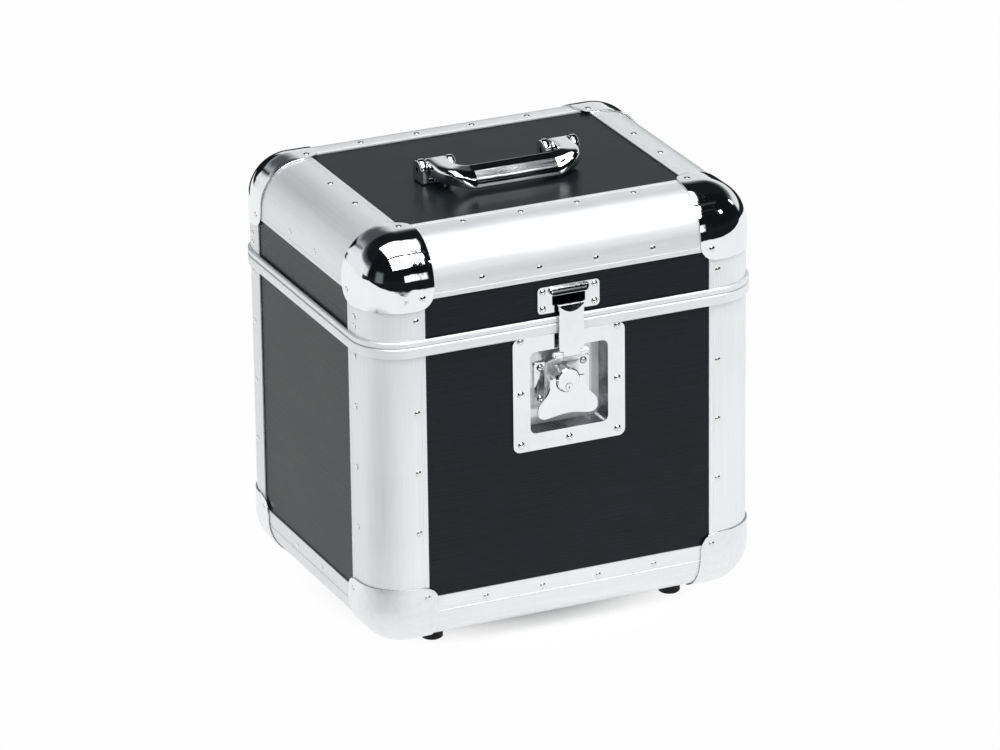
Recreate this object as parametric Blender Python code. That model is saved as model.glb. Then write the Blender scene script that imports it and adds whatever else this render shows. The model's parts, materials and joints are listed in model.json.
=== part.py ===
"""Record carrying case: a rounded aluminium-edged case with a hinged lid.

Run with: blender --background --python part.py
Lengths are metres. +Z is up, the latch faces -Y, and the origin is on the
floor below the middle of the whole case.
"""
from math import asin, atan, cos, hypot, pi, radians, sin, sqrt, tan

import bmesh
import bpy
from mathutils import Matrix, Vector

# Whole case, without feet, handle and latch
CASE_WIDTH = 0.3600
CASE_DEPTH = 0.2913
CASE_HEIGHT = 0.3645
FOOT_HEIGHT = 0.0080
LID_HEIGHT = 0.0888
GAP = 0.0003
OVERRUN = 0.0010
WELD = 0.000001
SMOOTH_ANGLE = radians(35)

# Laminated panels and the aluminium edge extrusions that grip them
PANEL_THICKNESS = 0.0070
SKIN = 0.0010
EDGE_RADIUS = 0.0380
FLANGE_REACH = 0.0490
BOTTOM_FLANGE_REACH = 0.0470
INNER_LEG = 0.0012
INNER_LEG_SHORT = 0.0030
SLOT_WEB = 0.0012
ARC_STEPS = 8

# Pressed corner caps
CAP_THICKNESS = 0.0010
CAP_REACH = 0.0575
CAP_TAB_RADIUS = 0.0150
CAP_ARC_STEPS = ARC_STEPS // 2

# Tongue and groove closure bands
BAND_PROUD = 0.0025
BAND_ROUND = 0.0009
LID_BAND_LIP = 0.0055
LID_BAND_WEB = 0.0036
LID_BAND_INNER_LIP = 0.0085
BASE_BAND_LIP = 0.0093
BASE_BAND_WEB = 0.0024
BASE_BAND_INNER_LIP = 0.0120
BAND_INNER_WALL = 0.0012
TONGUE_DEPTH_IN = 0.0046
TONGUE_WIDTH = 0.0020
TONGUE_HEIGHT = 0.0022
TONGUE_CLEARANCE = 0.0009

# Rubber feet
FOOT_RADIUS = 0.0095
FOOT_CHAMFER = 0.0012
FOOT_INSET_X = 0.0680
FOOT_INSET_Y = 0.0400
FOOT_SIDES = 24

# Latch dish let into the front panel
DISH_WIDTH = 0.1035
DISH_HEIGHT = 0.1026
DISH_CORNER = 0.0060
DISH_SHEET = 0.0012
DISH_OPENING_WIDTH = 0.0720
DISH_OPENING_HEIGHT = 0.0735
DISH_OPENING_CORNER = 0.0050
DISH_TOP_BORDER = 0.0138
DISH_FLOOR_DEPTH = 0.0170
DISH_DRAFT = 0.0008
DISH_CORNER_STEPS = 4

# Latch base plate
BASE_PLATE_WIDTH = 0.0515
BASE_PLATE_HEIGHT = 0.0400
BASE_PLATE_THICKNESS = 0.0020
BASE_PLATE_CORNER = 0.0025

# Rotor, key plug and thumb flap
ROTOR_BELOW_SEAM = 0.0542
ROTOR_RADIUS = 0.0105
ROTOR_SHAFT_RADIUS = 0.0085
ROTOR_CHAMFER = 0.0009
ROTOR_SIDES = 36
PLUG_RADIUS = 0.0030
PLUG_DROP = 0.0056
PLUG_DEPTH = 0.0080
PLUG_PROUD = 0.0004
PLUG_SIDES = 20
KEYWAY_WIDTH = 0.0009
KEYWAY_HEIGHT = 0.0038
KEYWAY_DEPTH = 0.0020
FLAP_PIVOT_DEPTH = 0.0036
FLAP_THICKNESS = 0.0020
FLAP_HALF_WIDTH = 0.0275
FLAP_LENGTH = 0.0330
FLAP_EAR_RISE = 0.0016
FLAP_CLEARANCE = 0.0004
FLAP_PIN_RADIUS = 0.0010
FLAP_PIN_LENGTH = 0.0018
FLAP_SIDE_SHARES = (
    (0.57, 0.00),
    (0.59, 0.18),
    (0.66, 0.34),
    (0.80, 0.47),
    (0.95, 0.60),
    (1.00, 0.75),
    (0.98, 0.90),
    (0.88, 0.98),
    (0.72, 1.00),
    (0.50, 0.97),
    (0.25, 0.935),
)
FLAP_MIDDLE_SHARE = 0.92
FLAP_SIDE_SUBSTEPS = 3

# Carriage that the rotor lifts, and the hook hinged on it
LATCH_THROW = 0.0070
CARRIAGE_WIDTH = 0.0300
CARRIAGE_SHEET = 0.0018
CARRIAGE_TAIL = 0.0215
CARRIAGE_SHOULDER = 0.0125
CARRIAGE_RAMP_RISE = 0.0203
CARRIAGE_RAMP_DEPTH = 0.0012
HOOK_PIVOT_PROUD = 0.0036
HOOK_PIVOT_BELOW_SEAM = 0.0282
KNUCKLE_RADIUS = 0.0030
HOOK_KNUCKLE_HALF_WIDTH = 0.0080
HOOK_PIN_RADIUS = 0.0013
HOOK_PIN_HEAD = 0.0019
HOOK_PIN_HEAD_LENGTH = 0.0008
HOOK_WIDTH = 0.0225
HOOK_SHEET = 0.0018
HOOK_HEIGHT = 0.0455
HOOK_BEND_RADIUS = 0.0020
HOOK_NOSE_CLEARANCE = 0.0003
HOOK_NICK_RADIUS = 0.0700
HOOK_NICK_DEPTH = 0.0010
HOOK_NICK_HEIGHT = 0.0063
HOOK_NICK_BELOW_TOP = 0.0010
HOOK_NICK_SIDES = 240
KNUCKLE_SIDES = 20

# Keeper on the lid
KEEPER_WIDTH = 0.0570
KEEPER_HEIGHT = 0.0237
KEEPER_SHEET = 0.0014
KEEPER_CORNER = 0.0035
KEEPER_ABOVE_SEAM = 0.0093
KEEPER_WINDOW_WIDTH = 0.0304
KEEPER_WINDOW_HEIGHT = 0.0098
KEEPER_WINDOW_RISE = 0.0063
KEEPER_WINDOW_CORNER = 0.0008
KEEPER_POCKET_MARGIN = 0.0010
HOOD_WIDTH = 0.0380
HOOD_HEIGHT = 0.0070
HOOD_PROUD = 0.0034
HOOD_STEPS = 8

# Carrying handle, folded flat towards the front
HANDLE_SPREAD = 0.0575
HANDLE_PIVOT_RISE = 0.0100
HANDLE_PIVOT_BACK = 0.0030
HANDLE_REACH = 0.0385
HANDLE_BEND_RADIUS = 0.0200
HANDLE_HUB_RADIUS = 0.0086
HANDLE_HUB_HALF_WIDTH = 0.0093
HANDLE_ARM_STRAIGHT = 0.0140
HANDLE_BEND_STEPS = 8
HANDLE_CORNER_BREAK = 0.0010
ARM_SWELL_SHARE = 0.15
# Corners of the handle's section, from its inner top edge round the outer side:
# the distance outwards from the section's middle, and the height above it.
ARM_CORNERS = (
    (-0.0093, 0.0090),
    (0.0073, 0.0090),
    (0.0093, 0.0070),
    (0.0093, 0.0010),
    (0.0083, -0.0045),
    (-0.0078, -0.0045),
    (-0.0093, -0.0020),
    (-0.0093, 0.0060),
)
GRIP_CORNERS = (
    (-0.0120, 0.0068),
    (-0.0035, 0.0038),
    (0.0045, -0.0006),
    (0.0095, -0.0044),
    (0.0120, -0.0082),
    (-0.0085, -0.0082),
    (-0.0125, -0.0050),
    (-0.0130, 0.0035),
)
HANDLE_PIN_RADIUS = 0.0025
BRACKET_EAR = 0.0070
BRACKET_EAR_TOP = 0.0092
BRACKET_FOOT_LENGTH = 0.0260
BRACKET_SHEET = 0.0020
BRACKET_EAR_ARC_STEPS = 10
BRACKET_EAR_FLARE = radians(10)
EAR_BEVEL = 0.0012

# Butt hinges at the back
HINGE_SIDE_INSET = 0.0630
HINGE_WIDTH = 0.0640
HINGE_SHEET = 0.0012
HINGE_BASE_LEAF = 0.0400
HINGE_LID_LEAF = 0.0270
HINGE_KNUCKLE_RADIUS = 0.0032
HINGE_PIN_RADIUS = 0.0016
HINGE_PIN_CLEARANCE = 0.0003
HINGE_KNUCKLES = 5
HINGE_JOG = 0.0040
HINGE_SIDES = 20

# Places worked out from the sizes
PANEL_INSET = SKIN + GAP
PANEL_INNER = PANEL_INSET + PANEL_THICKNESS
LEG_OUTER = PANEL_INNER + GAP
LEG_INNER = LEG_OUTER + INNER_LEG
HINGE_AXIS_PROUD = BAND_PROUD + GAP + HINGE_KNUCKLE_RADIUS
FRONT_PROUD = HOOK_PIVOT_PROUD + KNUCKLE_RADIUS
BACK_PROUD = HINGE_AXIS_PROUD + HINGE_KNUCKLE_RADIUS
CASE_Y = (FRONT_PROUD - BACK_PROUD) / 2
HALF_WIDTH = CASE_WIDTH / 2
HALF_DEPTH = CASE_DEPTH / 2
FRONT_Y = CASE_Y - HALF_DEPTH
BACK_Y = CASE_Y + HALF_DEPTH
BOTTOM_Z = FOOT_HEIGHT
TOP_Z = FOOT_HEIGHT + CASE_HEIGHT
SEAM_Z = TOP_Z - LID_HEIGHT
HINGE_Y = BACK_Y + HINGE_AXIS_PROUD
ROTOR_Z = SEAM_Z - ROTOR_BELOW_SEAM
HOOK_PIVOT_Y = FRONT_Y - HOOK_PIVOT_PROUD
HOOK_PIVOT_Z = SEAM_Z - HOOK_PIVOT_BELOW_SEAM
FLAP_PIVOT_Y = FRONT_Y + FLAP_PIVOT_DEPTH
HANDLE_PIVOT_Y = CASE_Y - HANDLE_PIVOT_BACK
HANDLE_PIVOT_Z = TOP_Z + HANDLE_PIVOT_RISE
SIDES = (("left", -1), ("right", 1))
ENDS = (("front", -1), ("back", 1))

MATERIALS = {
    "laminate": ((0.030, 0.034, 0.038), 0.0, 0.45),
    "aluminium": ((0.80, 0.81, 0.82), 1.0, 0.35),
    "chrome": ((0.86, 0.87, 0.88), 1.0, 0.06),
    "nickel": ((0.84, 0.84, 0.84), 1.0, 0.16),
    "rubber": ((0.015, 0.015, 0.016), 0.0, 0.80),
}


def clear_scene():
    """Remove every object of the start-up scene."""
    for item in list(bpy.data.objects):
        bpy.data.objects.remove(item, do_unlink=True)


def make_materials():
    """Return the materials by name."""
    made = {}
    for name, (colour, metallic, roughness) in MATERIALS.items():
        material = bpy.data.materials.new(name)
        material.use_nodes = True
        shader = material.node_tree.nodes["Principled BSDF"]
        shader.inputs["Base Color"].default_value = (*colour, 1.0)
        shader.inputs["Metallic"].default_value = metallic
        shader.inputs["Roughness"].default_value = roughness
        made[name] = material
    return made


# Outlines in a plane

def arc(centre, radius, start, end, steps):
    """Return points on an arc from angle start to angle end, ends included."""
    points = []
    for index in range(steps + 1):
        angle = start + (end - start) * index / steps
        points.append((centre[0] + radius * cos(angle), centre[1] + radius * sin(angle)))
    return points


def circle(centre, radius, sides):
    """Return a closed ring of points."""
    return arc(centre, radius, 0, 2 * pi, sides)[:-1]


def rectangle(low, high):
    """Return the corners of a rectangle, counter-clockwise."""
    return [low, (high[0], low[1]), high, (low[0], high[1])]


def rounded_rectangle(centre, width, height, radius, steps):
    """Return a rectangle with round corners, counter-clockwise."""
    points = []
    half_u = width / 2 - radius
    half_v = height / 2 - radius
    for index, (side_u, side_v) in enumerate(((1, 1), (-1, 1), (-1, -1), (1, -1))):
        corner = (centre[0] + side_u * half_u, centre[1] + side_v * half_v)
        start = index * pi / 2
        points += arc(corner, radius, start, start + pi / 2, steps)
    return points


def thicken(line, thickness):
    """Return the closed outline of a bent strip about a centre line."""
    left = []
    right = []
    last = len(line) - 1
    for index, point in enumerate(line):
        before = Vector(point) - Vector(line[max(index - 1, 0)])
        after = Vector(line[min(index + 1, last)]) - Vector(point)
        if index == 0:
            before = after
        if index == last:
            after = before
        before.normalize()
        after.normalize()
        along = (before + after).normalized()
        across = Vector((-along.y, along.x)) * (thickness / 2 / along.dot(before))
        left.append(tuple(Vector(point) + across))
        right.append(tuple(Vector(point) - across))
    return left + right[::-1]


def smooth_line(points, substeps):
    """Return a Catmull-Rom curve through the points."""
    curve = []
    last = len(points) - 1
    for index in range(last):
        p0 = Vector(points[max(index - 1, 0)])
        p1 = Vector(points[index])
        p2 = Vector(points[index + 1])
        p3 = Vector(points[min(index + 2, last)])
        for step in range(substeps):
            t = step / substeps
            spot = (2 * p1 + (p2 - p0) * t + (2 * p0 - 5 * p1 + 4 * p2 - p3) * t * t
                    + (3 * p1 - p0 - 3 * p2 + p3) * t ** 3) / 2
            curve.append(tuple(spot))
    curve.append(tuple(points[last]))
    return curve


# Solids

def finish(name, mesh_data, material):
    """Turn a bmesh into a named object with clean outward faces."""
    bmesh.ops.remove_doubles(mesh_data, verts=mesh_data.verts, dist=WELD)
    bmesh.ops.recalc_face_normals(mesh_data, faces=mesh_data.faces)
    mesh = bpy.data.meshes.new(name)
    mesh_data.to_mesh(mesh)
    mesh_data.free()
    mesh.shade_smooth()
    mesh.set_sharp_from_angle(angle=SMOOTH_ANGLE)
    item = bpy.data.objects.new(name, mesh)
    bpy.context.collection.objects.link(item)
    if material is not None:
        mesh.materials.append(material)
    return item


def along_x(u, v, w):
    """Place an outline of (y, z) along X."""
    return Vector((w, u, v))


def along_y(u, v, w):
    """Place an outline of (x, z) along Y."""
    return Vector((u, w, v))


def along_z(u, v, w):
    """Place an outline of (x, y) along Z."""
    return Vector((u, v, w))


def prism(name, loops, start, end, place, material=None):
    """Extrude an outline, with holes if more than one loop is given."""
    mesh_data = bmesh.new()
    edges = []
    for loop in loops:
        verts = [mesh_data.verts.new(place(u, v, start)) for u, v in loop]
        for index, vert in enumerate(verts):
            edges.append(mesh_data.edges.new((vert, verts[(index + 1) % len(verts)])))
    bmesh.ops.triangle_fill(mesh_data, edges=edges, use_beauty=True)
    made = bmesh.ops.extrude_face_region(mesh_data, geom=list(mesh_data.faces))
    shift = place(0, 0, end) - place(0, 0, start)
    moved = [item for item in made["geom"] if isinstance(item, bmesh.types.BMVert)]
    bmesh.ops.translate(mesh_data, verts=moved, vec=shift)
    return finish(name, mesh_data, material)


def loft(name, rings, material=None):
    """Join rings of equal length into one closed solid with filled ends."""
    mesh_data = bmesh.new()
    rows = [[mesh_data.verts.new(point) for point in ring] for ring in rings]
    count = len(rows[0])
    for low, high in zip(rows, rows[1:]):
        for index in range(count):
            after = (index + 1) % count
            mesh_data.faces.new((low[index], low[after], high[after], high[index]))
    mesh_data.faces.new(rows[0][::-1])
    mesh_data.faces.new(rows[-1])
    return finish(name, mesh_data, material)


def turned(name, profile, centre, axis, sides, material=None):
    """Turn a profile of (radius, distance along axis) about an axis."""
    turn = Vector((0, 0, 1)).rotation_difference(Vector(axis)).to_matrix()
    rings = []
    for radius, height in profile:
        ring = circle((0, 0), radius, sides)
        rings.append([turn @ Vector((u, v, height)) + Vector(centre) for u, v in ring])
    return loft(name, rings, material)


def cylinder(name, radius, start, end, centre, axis, sides, material=None):
    """Make a plain round bar."""
    return turned(name, ((radius, start), (radius, end)), centre, axis, sides, material)


def boolean(item, tool, operation):
    """Add a Boolean modifier whose tool is left out of the model."""
    tool.hide_render = True
    tool.display_type = "WIRE"
    modifier = item.modifiers.new(operation.lower(), "BOOLEAN")
    modifier.operation = operation
    modifier.object = tool
    return item


def cut(item, tool):
    """Cut the tool out of the item."""
    return boolean(item, tool, "DIFFERENCE")


def join(item, tool):
    """Unite the tool with the item."""
    return boolean(item, tool, "UNION")


def pivot_at(item, point):
    """Move an object's origin to its joint's axis without moving the piece."""
    shift = Vector(point)
    item.data.transform(Matrix.Translation(-shift))
    item.location = shift


# Edge extrusions

def edge_profile(reach_u, reach_v):
    """Return the section of an edge extrusion.

    u and v are the distances in from the two outer faces of the case. The
    round outer skin ends in two flanges, and each flange has a web and an
    inner leg that make the slot for a panel's edge.
    """
    radius = EDGE_RADIUS
    inner = radius - SKIN
    turn = asin(SLOT_WEB / inner)
    middle = (radius, radius)
    outline = [(reach_u, 0)]
    outline += arc(middle, radius, -pi / 2, -pi, ARC_STEPS)
    outline += [(0, reach_v), (SKIN, reach_v), (SKIN, radius), (LEG_OUTER, radius)]
    outline += [(LEG_OUTER, reach_v - INNER_LEG_SHORT), (LEG_INNER, reach_v - INNER_LEG_SHORT)]
    outline += [(LEG_INNER, radius - SLOT_WEB)]
    outline += arc(middle, inner, pi + turn, 3 * pi / 2 - turn, ARC_STEPS)
    outline += [(radius - SLOT_WEB, LEG_INNER), (reach_u - INNER_LEG_SHORT, LEG_INNER)]
    outline += [(reach_u - INNER_LEG_SHORT, LEG_OUTER), (radius, LEG_OUTER), (radius, SKIN)]
    outline += [(reach_u, SKIN)]
    return outline


def corner_post(name, side_x, side_y, low, high, material):
    """Make an upright edge extrusion at one corner of the case."""
    outline = []
    for u, v in edge_profile(FLANGE_REACH, FLANGE_REACH):
        outline.append((side_x * (HALF_WIDTH - u), CASE_Y + side_y * (HALF_DEPTH - v)))
    return prism(name, [outline], low, high, along_z, material)


def level_rail(name, side_x, side_y, side_z, material):
    """Make a level edge extrusion along the top or bottom of one wall."""
    reach = FLANGE_REACH if side_z > 0 else BOTTOM_FLANGE_REACH
    level = TOP_Z if side_z > 0 else BOTTOM_Z
    profile = edge_profile(reach, reach)
    if side_y:
        outline = [(CASE_Y + side_y * (HALF_DEPTH - u), level - side_z * v) for u, v in profile]
        end = HALF_WIDTH - EDGE_RADIUS
        return prism(name, [outline], -end, end, along_x, material)
    outline = [(side_x * (HALF_WIDTH - u), level - side_z * v) for u, v in profile]
    end = HALF_DEPTH - reach - GAP
    return prism(name, [outline], CASE_Y - end, CASE_Y + end, along_y, material)


# Corner caps

def cap_grid():
    """Return the grid steps of a cap from the rounded corner to its edge."""
    steps = []
    for index in range(CAP_ARC_STEPS):
        angle = (pi / 4) * (1 - index / CAP_ARC_STEPS)
        steps.append(EDGE_RADIUS * (1 - tan(angle)))
    tab_start = CAP_REACH - CAP_TAB_RADIUS
    middle = CAP_REACH - CAP_TAB_RADIUS / 2
    return steps + [EDGE_RADIUS, tab_start, middle, CAP_REACH]


def round_tab(u, v):
    """Round the far corner of a cap's tab."""
    start = CAP_REACH - CAP_TAB_RADIUS
    over_u = u - start
    over_v = v - start
    if over_u <= 0 or over_v <= 0:
        return u, v
    scale = max(over_u, over_v) / hypot(over_u, over_v)
    return start + over_u * scale, start + over_v * scale


def on_rounded_corner(point, offset):
    """Move a point of the sharp corner onto the rounded one, offset outwards."""
    centre = Vector([max(value, EDGE_RADIUS) for value in point])
    outward = (Vector(point) - centre).normalized()
    return centre + outward * (EDGE_RADIUS + offset)


def corner_cap(name, side_x, side_y, side_z, material):
    """Make the pressed shell over one corner, with a tab on each face."""
    mesh_data = bmesh.new()
    steps = cap_grid()
    count = len(steps)
    corner = Vector((side_x * HALF_WIDTH, CASE_Y + side_y * HALF_DEPTH,
                     TOP_Z if side_z > 0 else BOTTOM_Z))
    signs = Vector((-side_x, -side_y, -side_z))
    for face in range(3):
        layers = []
        for offset in (GAP, GAP + CAP_THICKNESS):
            rows = []
            for step_u in steps:
                row = []
                for step_v in steps:
                    u, v = round_tab(step_u, step_v)
                    flat = [u, v]
                    flat.insert(face, 0)
                    spot = on_rounded_corner(flat, offset)
                    row.append(mesh_data.verts.new(corner + Vector(
                        [value * sign for value, sign in zip(spot, signs)])))
                rows.append(row)
            layers.append(rows)
        for rows in layers:
            for i in range(count - 1):
                for j in range(count - 1):
                    mesh_data.faces.new((rows[i][j], rows[i + 1][j],
                                         rows[i + 1][j + 1], rows[i][j + 1]))
        inner, outer = layers
        rim_inner = [inner[-1][j] for j in range(count)] + [inner[i][-1] for i in range(count - 2, -1, -1)]
        rim_outer = [outer[-1][j] for j in range(count)] + [outer[i][-1] for i in range(count - 2, -1, -1)]
        for index in range(len(rim_inner) - 1):
            mesh_data.faces.new((rim_inner[index], rim_inner[index + 1],
                                 rim_outer[index + 1], rim_outer[index]))
    return finish(name, mesh_data, material)


# Closure bands

def band_ring(name, section, material):
    """Sweep a section of (distance out, height) round the case."""
    rings = []
    for out, height in section:
        width = CASE_WIDTH + 2 * out
        depth = CASE_DEPTH + 2 * out
        outline = rounded_rectangle((0, CASE_Y), width, depth, EDGE_RADIUS + out, ARC_STEPS)
        rings.append([Vector((u, v, height)) for u, v in outline])
    mesh_data = bmesh.new()
    rows = [[mesh_data.verts.new(point) for point in ring] for ring in rings]
    count = len(rows[0])
    for index, low in enumerate(rows):
        high = rows[(index + 1) % len(rows)]
        for step in range(count):
            after = (step + 1) % count
            mesh_data.faces.new((low[step], low[after], high[after], high[step]))
    return finish(name, mesh_data, material)


def lid_band(material):
    """Make the lid's channel with the groove below it."""
    low = SEAM_Z + GAP / 2
    lip = SEAM_Z + LID_BAND_LIP
    inner_out = -(LEG_INNER + GAP)
    inner_in = inner_out - BAND_INNER_WALL
    web = SEAM_Z + LID_BAND_WEB
    groove_high = low + TONGUE_HEIGHT + GAP
    groove_out = -(TONGUE_DEPTH_IN - TONGUE_WIDTH / 2 - TONGUE_CLEARANCE)
    groove_in = -(TONGUE_DEPTH_IN + TONGUE_WIDTH / 2 + TONGUE_CLEARANCE)
    section = [
        (inner_in, low), (groove_in, low), (groove_in, groove_high),
        (groove_out, groove_high), (groove_out, low),
        (BAND_PROUD - BAND_ROUND, low), (BAND_PROUD, low + BAND_ROUND),
        (BAND_PROUD, lip - BAND_ROUND), (BAND_PROUD - BAND_ROUND, lip),
        (GAP, lip), (GAP, web), (inner_out, web),
        (inner_out, SEAM_Z + LID_BAND_INNER_LIP), (inner_in, SEAM_Z + LID_BAND_INNER_LIP),
    ]
    return band_ring("lid_closure_band", section, material)


def base_band(material):
    """Make the base's channel with the tongue on top."""
    high = SEAM_Z - GAP / 2
    lip = SEAM_Z - BASE_BAND_LIP
    inner_out = -(LEG_INNER + GAP)
    inner_in = inner_out - BAND_INNER_WALL
    web = SEAM_Z - BASE_BAND_WEB
    tongue_out = -(TONGUE_DEPTH_IN - TONGUE_WIDTH / 2)
    tongue_in = -(TONGUE_DEPTH_IN + TONGUE_WIDTH / 2)
    section = [
        (inner_in, high), (inner_in, SEAM_Z - BASE_BAND_INNER_LIP),
        (inner_out, SEAM_Z - BASE_BAND_INNER_LIP), (inner_out, web),
        (GAP, web), (GAP, lip), (BAND_PROUD - BAND_ROUND, lip),
        (BAND_PROUD, lip + BAND_ROUND), (BAND_PROUD, high - BAND_ROUND),
        (BAND_PROUD - BAND_ROUND, high), (tongue_out, high),
        (tongue_out, high + TONGUE_HEIGHT), (tongue_in, high + TONGUE_HEIGHT),
        (tongue_in, high),
    ]
    return band_ring("base_closure_band", section, material)


# Panels, posts, rails, caps and feet

def dish_place():
    """Return the middle of the dish and of its opening, in (x, z)."""
    top = SEAM_Z - BASE_BAND_LIP - GAP
    middle = (0, top - DISH_HEIGHT / 2)
    opening = (0, top - DISH_TOP_BORDER - DISH_OPENING_HEIGHT / 2)
    return middle, opening


def window_place():
    """Return the middle of the keeper's window, in (x, z)."""
    low = SEAM_Z + KEEPER_ABOVE_SEAM + KEEPER_WINDOW_RISE
    return 0, low + KEEPER_WINDOW_HEIGHT / 2


def upright_panels(prefix, low, high, materials):
    """Make the four wall panels of the base or the lid."""
    inset = EDGE_RADIUS + GAP
    for end_name, side in ENDS:
        loops = [rectangle((inset - HALF_WIDTH, low), (HALF_WIDTH - inset, high))]
        if end_name == "front" and prefix == "base":
            hole = DISH_OPENING_WIDTH + 2 * (DISH_SHEET + GAP)
            tall = DISH_OPENING_HEIGHT + 2 * (DISH_SHEET + GAP)
            loops.append(rounded_rectangle(dish_place()[1], hole, tall,
                                           DISH_OPENING_CORNER, DISH_CORNER_STEPS))
        if end_name == "front" and prefix == "lid":
            wide = KEEPER_WINDOW_WIDTH + 2 * KEEPER_POCKET_MARGIN
            tall = KEEPER_WINDOW_HEIGHT + 2 * KEEPER_POCKET_MARGIN
            loops.append(rounded_rectangle(window_place(), wide, tall,
                                           KEEPER_WINDOW_CORNER, DISH_CORNER_STEPS))
        outer = CASE_Y + side * (HALF_DEPTH - PANEL_INSET)
        inner = CASE_Y + side * (HALF_DEPTH - PANEL_INNER)
        prism(f"{prefix}_{end_name}_panel", loops, outer, inner, along_y, materials["laminate"])
    for side_name, side in SIDES:
        loop = rectangle((CASE_Y + inset - HALF_DEPTH, low), (CASE_Y + HALF_DEPTH - inset, high))
        outer = side * (HALF_WIDTH - PANEL_INSET)
        inner = side * (HALF_WIDTH - PANEL_INNER)
        prism(f"{prefix}_{side_name}_panel", [loop], outer, inner, along_x, materials["laminate"])


def level_panel(name, side_z, material):
    """Make the bottom of the base or the top of the lid."""
    inset = EDGE_RADIUS + GAP
    low = (inset - HALF_WIDTH, CASE_Y + inset - HALF_DEPTH)
    high = (HALF_WIDTH - inset, CASE_Y + HALF_DEPTH - inset)
    level = TOP_Z if side_z > 0 else BOTTOM_Z
    return prism(name, [rectangle(low, high)], level - side_z * PANEL_INSET,
                 level - side_z * PANEL_INNER, along_z, material)


def case_shell(materials):
    """Make the panels, extrusions, caps, bands and feet."""
    inset = EDGE_RADIUS + GAP
    base_high = SEAM_Z - BASE_BAND_WEB - GAP
    lid_low = SEAM_Z + LID_BAND_WEB + GAP
    upright_panels("base", BOTTOM_Z + inset, base_high, materials)
    upright_panels("lid", lid_low, TOP_Z - inset, materials)
    level_panel("base_bottom_panel", -1, materials["laminate"])
    level_panel("lid_top_panel", 1, materials["laminate"])
    metal = materials["aluminium"]
    for end_name, side_y in ENDS:
        level_rail(f"base_bottom_rail_{end_name}", 0, side_y, -1, metal)
        level_rail(f"lid_top_rail_{end_name}", 0, side_y, 1, metal)
        for side_name, side_x in SIDES:
            place = f"{end_name}_{side_name}"
            corner_post(f"base_post_{place}", side_x, side_y,
                        BOTTOM_Z + BOTTOM_FLANGE_REACH + GAP, base_high, metal)
            corner_post(f"lid_post_{place}", side_x, side_y,
                        lid_low, TOP_Z - FLANGE_REACH - GAP, metal)
            corner_cap(f"base_cap_{place}", side_x, side_y, -1, metal)
            corner_cap(f"lid_cap_{place}", side_x, side_y, 1, materials["chrome"])
            rubber_foot(f"foot_{place}", side_x, side_y, materials["rubber"])
    for side_name, side_x in SIDES:
        level_rail(f"base_bottom_rail_{side_name}", side_x, 0, -1, metal)
        level_rail(f"lid_top_rail_{side_name}", side_x, 0, 1, metal)
    base_band(metal)
    lid_band(metal)


def rubber_foot(name, side_x, side_y, material):
    """Make a round foot under the bottom rail."""
    centre = (side_x * (HALF_WIDTH - FOOT_INSET_X), CASE_Y + side_y * (HALF_DEPTH - FOOT_INSET_Y), 0)
    profile = ((FOOT_RADIUS - FOOT_CHAMFER, 0), (FOOT_RADIUS, FOOT_CHAMFER),
               (FOOT_RADIUS, FOOT_HEIGHT - GAP))
    return turned(name, profile, centre, (0, 0, 1), FOOT_SIDES, material)


# Latch

def latch_dish(material):
    """Make the pressed dish: a flange, straight walls and a floor."""
    middle, opening = dish_place()
    front = FRONT_Y + PANEL_INSET - GAP - DISH_SHEET
    floor = FRONT_Y + DISH_FLOOR_DEPTH
    wall = 2 * DISH_SHEET
    steps = DISH_CORNER_STEPS
    width = DISH_OPENING_WIDTH
    height = DISH_OPENING_HEIGHT
    draft = 2 * DISH_DRAFT
    corner = DISH_OPENING_CORNER
    shapes = (
        (opening, width - draft, height - draft, corner, floor),
        (opening, width, height, corner, front),
        (middle, DISH_WIDTH, DISH_HEIGHT, DISH_CORNER, front),
        (middle, DISH_WIDTH, DISH_HEIGHT, DISH_CORNER, front + DISH_SHEET),
        (opening, width + wall, height + wall, corner, front + DISH_SHEET),
        (opening, width + wall - draft, height + wall - draft, corner, floor + DISH_SHEET),
    )
    rings = []
    for centre, wide, tall, radius, depth in shapes:
        outline = rounded_rectangle(centre, wide, tall, radius, steps)
        rings.append([along_y(u, v, depth) for u, v in outline])
    return loft("latch_dish", rings, material)


def latch_base_plate(material):
    """Make the riveted plate behind the carriage, with the rotor's bearing hole."""
    back = FRONT_Y + DISH_FLOOR_DEPTH - GAP
    outline = rounded_rectangle((0, ROTOR_Z), BASE_PLATE_WIDTH, BASE_PLATE_HEIGHT,
                                BASE_PLATE_CORNER, DISH_CORNER_STEPS)
    top = ROTOR_Z + CARRIAGE_SHOULDER + CARRIAGE_SHEET
    shift = top - (ROTOR_Z + BASE_PLATE_HEIGHT / 2)
    outline = [(u, v + shift) for u, v in outline]
    hole = circle((0, ROTOR_Z), ROTOR_SHAFT_RADIUS + GAP, ROTOR_SIDES)
    return prism("latch_base_plate", [outline, hole], back - BASE_PLATE_THICKNESS, back,
                 along_y, material)


def carriage_levels():
    """Return the depths of the carriage's flat part: front and back."""
    back = FRONT_Y + DISH_FLOOR_DEPTH - GAP - BASE_PLATE_THICKNESS - GAP
    return back - CARRIAGE_SHEET, back


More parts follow.
